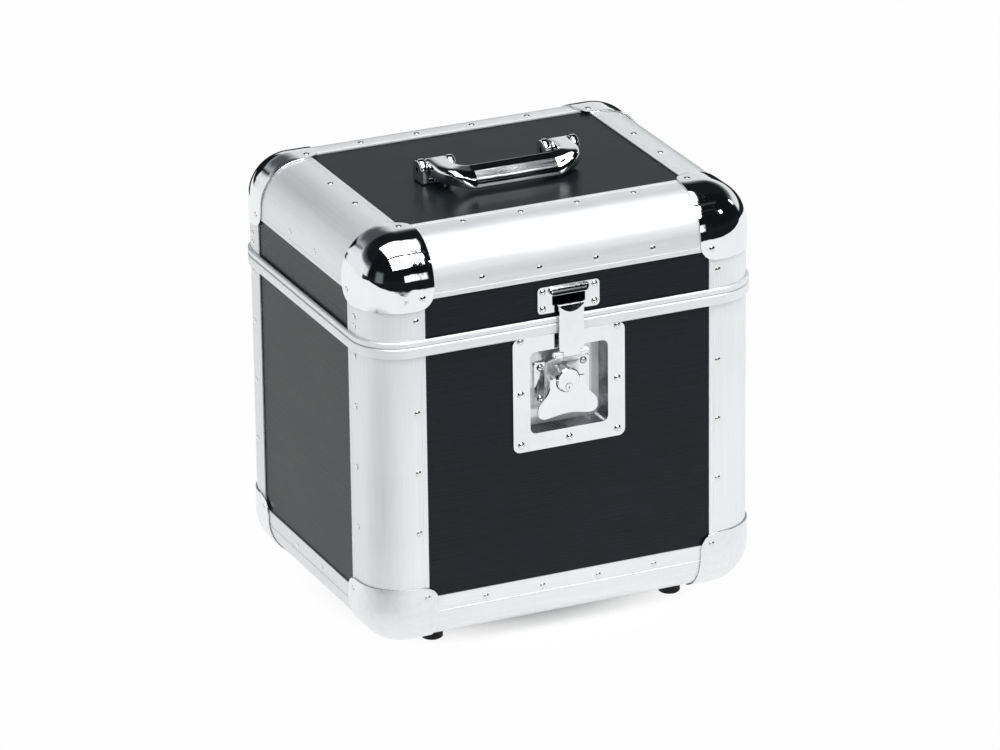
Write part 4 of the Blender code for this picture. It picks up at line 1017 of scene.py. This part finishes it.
@dataclass
class CarryHandle:
    """The cast handle, its brackets and pins."""

    finishes: Finishes
    pivot_y: float = field(init=False)
    pivot_z: float = field(init=False)
    # The path: half the distance of the hubs, how far the grip lies in front, and its bends.
    spread: float = 57.5 * MM
    reach: float = 38.5 * MM
    bend: float = 20.0 * MM
    bend_steps: int = 18
    straight: float = 14.0 * MM
    # The arm's section begins to turn into the grip's at this share of the bend.
    swell_start: float = 0.40
    # The belt runs this far past the straight grip.
    belt_end: float = 1.0 * MM
    hub_radius: float = 8.6 * MM
    hub_half: float = 9.3 * MM
    hub_steps: int = 48
    # The hub's soft rims, as shares of its half length and radius.
    hub_shares: tuple[tuple[float, float], ...] = (
        (-1.0, 0.88), (-0.98, 0.95), (-0.93, 1.0), (0.93, 1.0), (0.98, 0.95), (1.0, 0.88))
    ear: float = 7.0 * MM
    ear_gap: float = 0.3 * MM
    ear_length: float = 20.4 * MM
    ear_top: float = 9.2 * MM
    ear_steps: int = 28
    ear_round: float = 1.8 * MM
    # The ear's round top begins and ends this many degrees above the level.
    ear_tilt: float = 8.0
    foot_inset: float = 1.6 * MM
    foot_thick: float = 2.0 * MM
    foot_round: float = 0.7 * MM
    round_strips: int = 5
    round_angle: float = 35.0
    crease: float = 32.0
    # The section's corners are cut back by this, but by no more than this share of a side.
    corner: float = 1.3 * MM
    corner_share: float = 0.3
    # Corners of an arm and of the grip as (outward, rise) from the path, in mm.
    arm_corners: tuple[tuple[float, float], ...] = (
        (-8.6, 9.0), (2.0, 9.0), (4.2, 8.9), (5.8, 8.7), (7.0, 8.3), (8.2, 7.4), (9.2, 5.8),
        (9.3, 1.0), (8.3, -4.5), (-7.8, -4.5), (-9.3, -2.0), (-9.3, 6.5))
    grip_corners: tuple[tuple[float, float], ...] = (
        (-11.4, 7.8), (-1.6, 5.6), (-0.9, 5.1), (3.0, 1.6), (4.5, 0.0), (5.7, -2.7),
        (6.9, -6.4), (6.9, -7.6), (5.6, -8.4), (-8.5, -8.2), (-12.2, -5.0), (-12.6, 4.0))
    # How far the middle of each of the grip's faces stands out, in mm.
    bulge: tuple[float, ...] = (-0.12, 0.04, 0.05, 0.06, 0.05, 0.08, 0.05, 0.0, 0.0, 0.2, 0.2,
                                0.2)

    def __post_init__(self) -> None:
        """Find the line of the pins in the frame."""
        low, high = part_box("handle_pin_left")
        self.pivot_y, self.pivot_z = (low.y + high.y) / 2, (low.z + high.z) / 2

    def build(self) -> None:
        """Make the handle and its brackets over their CAD nodes."""
        chrome = self.finishes.chrome
        grip = fused(self.loft("handle_polished"), [self.hub(side) for side in (-1, 1)])
        grip.data.materials.append(self.finishes.cast_chrome)
        grip.data.materials.append(chrome)
        # The belt-polished chrome, with its painted reflection streaks, runs along the straight grip
        # only; arms and bends are buffed smooth.
        belt = self.spread - self.bend + self.belt_end
        for face in grip.data.polygons:
            reach = max(abs(grip.data.vertices[index].co.x) for index in face.vertices)
            face.material_index = 0 if reach < belt else 1
        shade(grip, self.crease)
        settle(grip, "handle", "chrome_fitting", "handle")
        for side in SIDES:
            node = f"handle_bracket_{side}"
            bracket = self.bracket(f"{node}_polished", node, SIGN[side])
            bracket.data.materials.append(chrome)
            shade(bracket, self.crease)
            settle(bracket, "lid", "chrome_fitting", node)
            dress(f"handle_pin_{side}", "lid", chrome, "chrome_fitting", ROUND_CREASE)
        LOG.info("handle: 5 pieces")

    def section(self, share: float) -> list[tuple[float, float]]:
        """Return one section with rounded corners and swelling faces, in metres.

        Args:
            share: How far the section has gone from the arm's form to the grip's.

        Returns:
            The section's points as (outward, rise).
        """
        corners = [Vector(arm).lerp(Vector(grip), share) * MM
                   for arm, grip in zip(self.arm_corners, self.grip_corners)]
        points = []
        count = len(corners)
        for index, corner in enumerate(corners):
            before = corners[index - 1] - corner
            after = corners[(index + 1) % count] - corner
            first, last = (corner + way.normalized() * min(self.corner,
                                                           way.length * self.corner_share)
                           for way in (before, after))
            points += [first, corner.lerp((first + last) / 2, 0.5), last]
            outward = Vector((-after.y, after.x)).normalized()
            points.append(corner + after / 2 + outward * self.bulge[index] * share * MM)
        return [(point.x, point.y) for point in points]

    def stations(self) -> list[tuple[Vector, Vector, float]]:
        """Return the path from the left hub round to the right one."""
        pivot = Vector((0, self.pivot_y, self.pivot_z))
        left = []
        for back in (0.0, self.straight / 2, self.straight):
            left.append((pivot + Vector((-self.spread, -back, 0)), Vector((-1, 0, 0)), 0.0))
        centre = pivot + Vector((self.bend - self.spread, self.bend - self.reach, 0))
        for index in range(self.bend_steps + 1):
            angle = math.pi / 2 * index / self.bend_steps
            outward = Vector((-math.cos(angle), -math.sin(angle), 0))
            turned = index / self.bend_steps
            grown_by = max(0.0, (turned - self.swell_start) / (1 - self.swell_start))
            share = grown_by * grown_by * (3 - 2 * grown_by)
            left.append((centre + outward * self.bend, outward, share))
        right = [(Vector((-spot.x, spot.y, spot.z)), Vector((-outward.x, outward.y, 0)), share)
                 for spot, outward, share in reversed(left)]
        return left + right

    def loft(self, name: str) -> bpy.types.Object:
        """Sweep the changing section along the path."""
        rings = self.stations()
        points = [spot + outward * out + Vector((0, 0, rise))
                  for spot, outward, share in rings for out, rise in self.section(share)]
        return closed_piece(name, points, tube_faces(len(rings), len(points) // len(rings)))

    def hub(self, side: int) -> bpy.types.Object:
        """Make the round hub at one end of the handle."""
        points = []
        for along, reach in self.hub_shares:
            for index in range(self.hub_steps):
                angle = 2 * math.pi * index / self.hub_steps
                points.append(Vector((side * self.spread + along * self.hub_half,
                                      self.pivot_y + reach * self.hub_radius * math.cos(angle),
                                      self.pivot_z + reach * self.hub_radius * math.sin(angle))))
        return closed_piece(f"hub_{side}", points,
                            tube_faces(len(self.hub_shares), self.hub_steps))

    def bracket(self, name: str, node: str, side: int) -> bpy.types.Object:
        """Make one bracket: a foot plate and two thick ears with soft edges.

        Args:
            name: What its parts' names begin with.
            node: The CAD node that it stands for.
            side: -1 on the left and 1 on the right.

        Returns:
            The bracket as one solid.
        """
        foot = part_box(node)[0].z
        half_ear = self.ear_length / 2
        half_foot = half_ear - self.foot_inset
        middle_x = side * self.spread
        inner = self.hub_half + self.ear_gap
        outer = inner + self.ear
        plate = [(self.pivot_y - half_foot, foot), (self.pivot_y + half_foot, foot),
                 (self.pivot_y + half_foot, foot + self.foot_thick),
                 (self.pivot_y - half_foot, foot + self.foot_thick)]
        parts = [self.slab(f"{name}_foot", plate, middle_x - outer + self.foot_inset,
                           middle_x + outer - self.foot_inset, self.foot_round)]
        outline = [(self.pivot_y - half_ear, foot), (self.pivot_y + half_ear, foot)]
        first, turn = math.radians(self.ear_tilt), math.radians(180 - 2 * self.ear_tilt)
        for index in range(self.ear_steps + 1):
            angle = first + turn * index / self.ear_steps
            outline.append((self.pivot_y + self.ear_top * math.cos(angle),
                            self.pivot_z + self.ear_top * math.sin(angle)))
        for place, (start, end) in enumerate(((-outer, -inner), (inner, outer))):
            parts.append(self.slab(f"{name}_ear_{place}", outline, middle_x + start,
                                   middle_x + end, self.ear_round))
        return fused(parts[0], parts[1:])

    def slab(self, name: str, outline: Sequence[tuple[float, float]], start: float, end: float,
             edge: float) -> bpy.types.Object:
        """Make an upright slab across X with rounded edges.

        Args:
            name: The slab's name.
            outline: Its (y, z) outline.
            start: Its first X.
            end: Its last X.
            edge: The rounding of its edges.

        Returns:
            The slab.
        """
        points = [Vector((x, y, z)) for x in (start, end) for y, z in outline]
        item = closed_piece(name, points, tube_faces(2, len(outline)))
        rounded(item, edge, self.round_strips, self.round_angle)
        return item


@dataclass
class BackHinges:
    """The two butt hinges behind the case and their rivets."""

    finishes: Finishes
    head: float = 3.4 * MM
    rise: float = 1.0 * MM
    # How far the rivets stand from the middle of the leaf's plate, as a share of its size.
    spread_share: float = 0.30
    # A face that leans to the back by more than this belongs to the leaf's outer side.
    outer_lean: float = 0.9

    def build(self, tree: RivetTree) -> None:
        """Dress leaves and pins and set four rivets in each leaf."""
        for side in SIDES:
            for body in ("base", "lid"):
                leaf = dress(f"hinge_{side}_{body}_leaf", body, self.finishes.zinc,
                             "zinc_hinge")
                tree.set(RivetPattern(f"hinge_{side}_{body}_rivets", body, "zinc_hinge",
                                      self.head, self.rise, tuple(self.spots(leaf))),
                         self.finishes.rivet)
            dress(f"hinge_{side}_pin", "base", self.finishes.zinc, "zinc_hinge", ROUND_CREASE)
        LOG.info("hinges: 6 pieces and 16 rivets")

    def spots(self, leaf: bpy.types.Object) -> Iterable[tuple[Vector, Vector]]:
        """Yield the four rivet spots on a leaf's flat outer face."""
        plate = max((face for face in leaf.data.polygons if face.normal.y > self.outer_lean),
                    key=lambda face: face.area)
        corners = [leaf.data.vertices[index].co for index in plate.vertices]
        low = Vector(tuple(min(spot[axis] for spot in corners) for axis in range(3)))
        high = Vector(tuple(max(spot[axis] for spot in corners) for axis in range(3)))
        middle, size = (low + high) / 2, high - low
        for across in (-self.spread_share, self.spread_share):
            for up in (-self.spread_share, self.spread_share):
                yield (Vector((middle.x + across * size.x, high.y, middle.z + up * size.z)),
                       Vector((0, 1, 0)))


@dataclass
class Feet:
    """The four rubber feet."""

    finishes: Finishes
    edge_break: float = 0.6 * MM

    def build(self) -> None:
        """Dress the feet."""
        for corner in CORNERS:
            dress(f"foot_{corner}", "base", self.finishes.rubber, "rubber_foot", ROUND_CREASE,
                  self.edge_break)
        LOG.info("feet: 4")


def ways(azimuth: float, elevation: float) -> tuple[Vector, Vector, Vector]:
    """Return three ways at a place round the case, as the case sees it.

    Args:
        azimuth: The place's way round from the front, in degrees.
        elevation: Its height above the level, in degrees.

    Returns:
        The ways out to the place, to its right and up.
    """
    turn, tilt = math.radians(azimuth), math.radians(elevation)
    out = Vector((math.sin(turn) * math.cos(tilt), -math.cos(turn) * math.cos(tilt),
                  math.sin(tilt)))
    right = Vector((math.cos(turn), math.sin(turn), 0))
    return out, right, out.cross(right)


@dataclass(frozen=True)
class Glow:
    """One flat screen of the studio, as polished metal sees it."""

    azimuth: float
    elevation: float
    half_width: float
    half_height: float
    soft: float
    colour: str
    strength: float = 1.0
    # Ways that lean less than this towards the screen miss it.
    LEAN = 0.05

    def paint(self, tree: bpy.types.NodeTree, way: bpy.types.NodeSocket,
              around: bpy.types.NodeSocket) -> bpy.types.NodeSocket:
        """Paint the screen over what surrounds it.

        Args:
            tree: The world's tree.
            way: The direction looked in.
            around: The colour so far.

        Returns:
            The colour with the screen on it.
        """
        middle, right, up = ways(self.azimuth, self.elevation)
        ahead = add(tree, "ShaderNodeVectorMath", {"operation": "DOT_PRODUCT", 1: middle},
                    {0: way}).outputs["Value"]
        front = add(tree, "ShaderNodeMath", {"operation": "MAXIMUM", 1: self.LEAN}, {0: ahead})
        inside = add(tree, "ShaderNodeMath", {"operation": "GREATER_THAN", 1: self.LEAN},
                     {0: ahead}).outputs[0]
        for axis, reach in ((right, self.half_width), (up, self.half_height)):
            along = add(tree, "ShaderNodeVectorMath", {"operation": "DOT_PRODUCT", 1: axis},
                        {0: way}).outputs["Value"]
            flat = add(tree, "ShaderNodeMath", {"operation": "DIVIDE"},
                       {0: along, 1: front.outputs[0]})
            off = add(tree, "ShaderNodeMath", {"operation": "ABSOLUTE"}, {0: flat.outputs[0]})
            share = add(tree, "ShaderNodeMapRange",
                        {"interpolation_type": "SMOOTHSTEP", "From Min": reach + self.soft,
                         "From Max": reach - self.soft}, {"Value": off.outputs[0]})
            inside = add(tree, "ShaderNodeMath", {"operation": "MULTIPLY"},
                         {0: inside, 1: share.outputs["Result"]}).outputs[0]
        bright = tuple(channel * self.strength for channel in linear(self.colour)[:3]) + (1.0,)
        return add(tree, "ShaderNodeMix", {"data_type": "RGBA", 7: bright},
                   {0: inside, 6: around}).outputs[2]


# Degrees round from the front and up, half width and height, softness, colour and strength.
STUDIO_GLOWS = (
    # The tall window over the case, in two panes, with the dark bars across it.
    Glow(0.0, 92.0, 0.41, 0.32, 0.03, "#D4D8DB", 4.5),
    Glow(0.0, 57.0, 0.41, 0.42, 0.01, "#FFFFFF", 8.0),
    Glow(0.0, 67.0, 0.47, 0.045, 0.01, "#3A3D42"),
    Glow(0.0, 50.0, 0.47, 0.025, 0.01, "#2A2C30"),
    # A pale card low in front, and two small lamps at the right.
    Glow(13.0, 8.0, 0.16, 0.13, 0.03, "#F0F3F5", 2.0),
    Glow(38.0, 35.0, 0.055, 0.06, 0.02, "#FFFFFF", 8.0),
    Glow(91.0, 27.0, 0.035, 0.09, 0.02, "#FFFFFF", 4.0),
    # A dark card and a pale one behind, and a grey one at the left.
    Glow(-174.0, 8.0, 0.30, 0.27, 0.04, "#16181A"),
    Glow(-130.0, 0.0, 0.42, 0.42, 0.04, "#F4F6F7"),
    Glow(-60.0, 6.0, 0.16, 0.30, 0.08, "#6E7577"),
)
# What the metal sees behind the case and in front of it, from the level to overhead.
COVE = ((0.0, "#26292C"), (0.09, "#2A2D30"), (0.13, "#F4F5F6"), (0.34, "#E6E7E9"),
        (0.47, "#5A5E63"), (0.60, "#1B1C1F"))
ROOM = ((0.0, "#1E2023"), (0.20, "#131416"))


@dataclass(frozen=True)
class Lamp:
    """One soft rectangular lamp of the studio."""

    name: str
    azimuth: float
    elevation: float
    distance: float
    size: tuple[float, float]
    power: float

    def hang(self, aim: Vector) -> None:
        """Hang the lamp so that it faces a point."""
        out = ways(self.azimuth, self.elevation)[0]
        data = bpy.data.lights.new(self.name, "AREA")
        data.shape = "RECTANGLE"
        data.size, data.size_y = self.size
        data.energy = self.power
        item = linked(self.name, data)
        item.location = aim + out * self.distance
        item.rotation_euler = out.to_track_quat("Z", "Y").to_euler()
        # The polished metal sees the painted surroundings in place of the lamps.
        item.visible_glossy = False


# Degrees round from the front and up, then metres and watts.
STUDIO_LAMPS = (
    Lamp("overhead_softbox", 12.0, 62.0, 2.4, (2.4, 1.4), 58.0),
    Lamp("left_fill", -80.0, 35.0, 2.6, (1.4, 1.4), 4.0),
)


@dataclass
class Studio:
    """The pale floor, the lamps, the surroundings and the camera."""

    lens_mm: float = 238.68
    sensor_mm: float = 36.0
    azimuth: float = -24.148
    elevation: float = 21.727
    roll: float = -0.694
    stand: Vector = Vector((-2.16834, -4.84177, 2.29553))
    aim: Vector = Vector((0, 0, 0.2))
    floor_reach: float = 12.0
    shadow_near: float = 0.06
    shadow_far: float = 0.18
    # Polished metal sees the paper end in front of the case at paper_edge, and behind it a dark
    # gap that begins at sweep_start, right of gap_edge. Each end is soft over a short way.
    paper_edge: float = -1.0
    paper_soft: float = 0.05
    sweep_start: float = 1.2
    sweep_soft: float = 0.1
    gap_edge: float = -0.6
    gap_soft: float = 0.2
    shade_spot: tuple[float, float, float] = (-0.54, -0.32, 0.0)
    shade_reach: float = 0.45
    shade_full: float = 0.05
    # The cove fades in where the way looked in leans this much to the back.
    cove_start: float = 0.02
    cove_full: float = 0.14
    # How bright the white room is for all but polished metal and the camera.
    fill: float = 0.43

    def build(self) -> None:
        """Set up everything round the object."""
        self.floor()
        for lamp in STUDIO_LAMPS:
            lamp.hang(self.aim)
        self.surroundings()
        self.camera()
        bpy.context.scene.view_settings.view_transform = "Standard"
        LOG.info("studio ready")

    def floor(self) -> None:
        """Lay a plain white floor that fades to pure white away from the object."""
        reach = self.floor_reach
        mesh = bpy.data.meshes.new("studio_floor")
        mesh.from_pydata([(-reach, -reach, 0), (reach, -reach, 0), (reach, reach, 0),
                          (-reach, reach, 0)], [], [(0, 1, 2, 3)])
        # White background paper: matt, and so evenly lit that only the soft shadow shows on it.
        paper = bpy.data.materials.new("white_background_paper")
        paper.use_nodes = True
        tree = paper.node_tree
        tree.nodes.clear()
        place = add(tree, "ShaderNodeTexCoord").outputs["Object"]
        path = add(tree, "ShaderNodeLightPath")
        skin = add(tree, "ShaderNodeBsdfDiffuse", {"Color": linear("#FDFDFD")})
        for colour, share in (("#FEFEFE", self.far_share(tree, place, path)),
                              ("#8E9296", self.shade_share(tree, place, path)),
                              ("#1A1C1F", self.room_share(tree, place, path))):
            plain = add(tree, "ShaderNodeEmission", {"Color": linear(colour), "Strength": 1.0})
            skin = add(tree, "ShaderNodeMixShader",
                       links={0: share, 1: skin.outputs[0], 2: plain.outputs[0]})
        add(tree, "ShaderNodeOutputMaterial", links={"Surface": skin.outputs[0]})
        mesh.materials.append(paper)
        linked("studio_floor", mesh)

    def far_share(self, tree: bpy.types.NodeTree, place: bpy.types.NodeSocket,
                  path: bpy.types.Node) -> bpy.types.NodeSocket:
        """Fade the paper to pure white away from the case.

        Args:
            tree: The paper's tree.
            place: The place on the paper.
            path: The light path node.

        Returns:
            The share of pure white.
        """
        away = add(tree, "ShaderNodeVectorMath", {"operation": "LENGTH"}, {0: place}).outputs[1]
        far = add(tree, "ShaderNodeMapRange",
                  {"From Min": self.shadow_near, "From Max": self.shadow_far,
                   "interpolation_type": "SMOOTHSTEP"}, {"Value": away}).outputs["Result"]
        shiny = add(tree, "ShaderNodeMath", {"operation": "MAXIMUM"},
                    {0: path.outputs["Is Camera Ray"], 1: path.outputs["Is Glossy Ray"]})
        seen = add(tree, "ShaderNodeMath", {"operation": "MAXIMUM"},
                   {0: shiny.outputs[0], 1: path.outputs["Is Transmission Ray"]})
        return add(tree, "ShaderNodeMath", {"operation": "MULTIPLY"},
                   {0: far, 1: seen.outputs[0]}).outputs[0]

    def shade_share(self, tree: bpy.types.NodeTree, place: bpy.types.NodeSocket,
                    path: bpy.types.Node) -> bpy.types.NodeSocket:
        """Let polished metal see the case's own soft shade at its left front corner.

        Args:
            tree: The paper's tree.
            place: The place on the paper.
            path: The light path node.

        Returns:
            The share of shade.
        """
        apart = add(tree, "ShaderNodeVectorMath", {"operation": "DISTANCE", 1: self.shade_spot},
                    {0: place}).outputs[1]
        fading = add(tree, "ShaderNodeMapRange",
                     {"interpolation_type": "SMOOTHSTEP", "From Min": self.shade_reach,
                      "From Max": self.shade_full}, {"Value": apart}).outputs["Result"]
        return add(tree, "ShaderNodeMath", {"operation": "MULTIPLY"},
                   {0: fading, 1: path.outputs["Is Glossy Ray"]}).outputs[0]

    def room_share(self, tree: bpy.types.NodeTree, place: bpy.types.NodeSocket,
                   path: bpy.types.Node) -> bpy.types.NodeSocket:
        """Let polished metal see the dark room where the paper ends.

        The paper ends in front of the case, and behind it a dark gap lies between the paper and
        the lit cove.

        Args:
            tree: The paper's tree.
            place: The place on the paper.
            path: The light path node.

        Returns:
            The share of the room.
        """
        parts = add(tree, "ShaderNodeSeparateXYZ", links={0: place})
        before, after, beside = (
            add(tree, "ShaderNodeMapRange", {"From Min": start, "From Max": full},
                {"Value": parts.outputs[axis]}).outputs["Result"]
            for axis, start, full in (
                ("Y", self.paper_edge, self.paper_edge - self.paper_soft),
                ("Y", self.sweep_start, self.sweep_start + self.sweep_soft),
                ("X", self.gap_edge, self.gap_edge + self.gap_soft)))
        gap = add(tree, "ShaderNodeMath", {"operation": "MULTIPLY"}, {0: after, 1: beside})
        ended = add(tree, "ShaderNodeMath", {"operation": "MAXIMUM"},
                    {0: before, 1: gap.outputs[0]})
        return add(tree, "ShaderNodeMath", {"operation": "MULTIPLY"},
                   {0: ended.outputs[0], 1: path.outputs["Is Glossy Ray"]}).outputs[0]

    def surroundings(self) -> None:
        """Surround the object with a white cove behind and a dark room in front."""
        world = bpy.data.worlds.new("studio_world")
        bpy.context.scene.world = world
        world.use_nodes = True
        tree = world.node_tree
        tree.nodes.clear()
        way = add(tree, "ShaderNodeTexCoord").outputs["Generated"]
        parts = add(tree, "ShaderNodeSeparateXYZ", links={0: way})
        cove, room = ramp(tree, parts.outputs["Z"], COVE), ramp(tree, parts.outputs["Z"], ROOM)
        behind = add(tree, "ShaderNodeMapRange",
                     {"From Min": self.cove_start, "From Max": self.cove_full},
                     {"Value": parts.outputs["Y"]}).outputs["Result"]
        around = add(tree, "ShaderNodeMix", {"data_type": "RGBA"},
                     {0: behind, 6: room, 7: cove}).outputs[2]
        for glow in STUDIO_GLOWS:
            around = glow.paint(tree, way, around)
        path = add(tree, "ShaderNodeLightPath")
        shiny = add(tree, "ShaderNodeBackground", {"Strength": 1.0}, {"Color": around})
        soft, plain = (add(tree, "ShaderNodeBackground",
                           {"Color": linear("#FFFFFF"), "Strength": strength})
                       for strength in (self.fill, 1.0))
        lit = add(tree, "ShaderNodeMixShader",
                  links={0: path.outputs["Is Glossy Ray"], 1: soft.outputs[0],
                         2: shiny.outputs[0]})
        direct = add(tree, "ShaderNodeMath", {"operation": "MAXIMUM"},
                     {0: path.outputs["Is Camera Ray"],
                      1: path.outputs["Is Transmission Ray"]})
        seen = add(tree, "ShaderNodeMixShader",
                   links={0: direct.outputs[0], 1: lit.outputs[0], 2: plain.outputs[0]})
        add(tree, "ShaderNodeOutputWorld", links={"Surface": seen.outputs[0]})

    def camera(self) -> None:
        """Place the camera where the photograph was taken from."""
        back, right, up = ways(self.azimuth, self.elevation)
        roll = math.radians(self.roll)
        x_axis = right * math.cos(roll) + up * math.sin(roll)
        y_axis = up * math.cos(roll) - right * math.sin(roll)
        data = bpy.data.cameras.new("photo_camera")
        data.lens = self.lens_mm
        data.sensor_width = self.sensor_mm
        item = linked("photo_camera", data)
        pose = Matrix((x_axis, y_axis, back)).transposed().to_4x4()
        pose.translation = self.stand
        item.matrix_world = pose
        bpy.context.scene.camera = item


def write_sizes() -> None:
    """Log a line in place of the sizes; nothing is measured or written."""
    LOG.info("sizes written")


def main() -> None:
    """Dress the case piece by piece."""
    logging.basicConfig(level=logging.INFO, format="%(message)s")
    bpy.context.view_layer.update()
    finishes = Finishes()
    box = CaseBox.from_frame()
    hollow, domed = RivetTree(RivetTree.HOLLOW), RivetTree(RivetTree.DOMED)
    Studio().build()
    Panels(finishes).build()
    EdgeExtrusions(finishes).build()
    CornerCaps(finishes, box).build()
    LipBeads(finishes).build(BeadTree())
    FlangeRivets(finishes, box).build(domed)
    Latch(finishes, box).build(hollow)
    CarryHandle(finishes).build()
    BackHinges(finishes).build(domed)
    Feet(finishes).build()
    write_sizes()


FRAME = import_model()

if __name__ == "__main__":
    main()
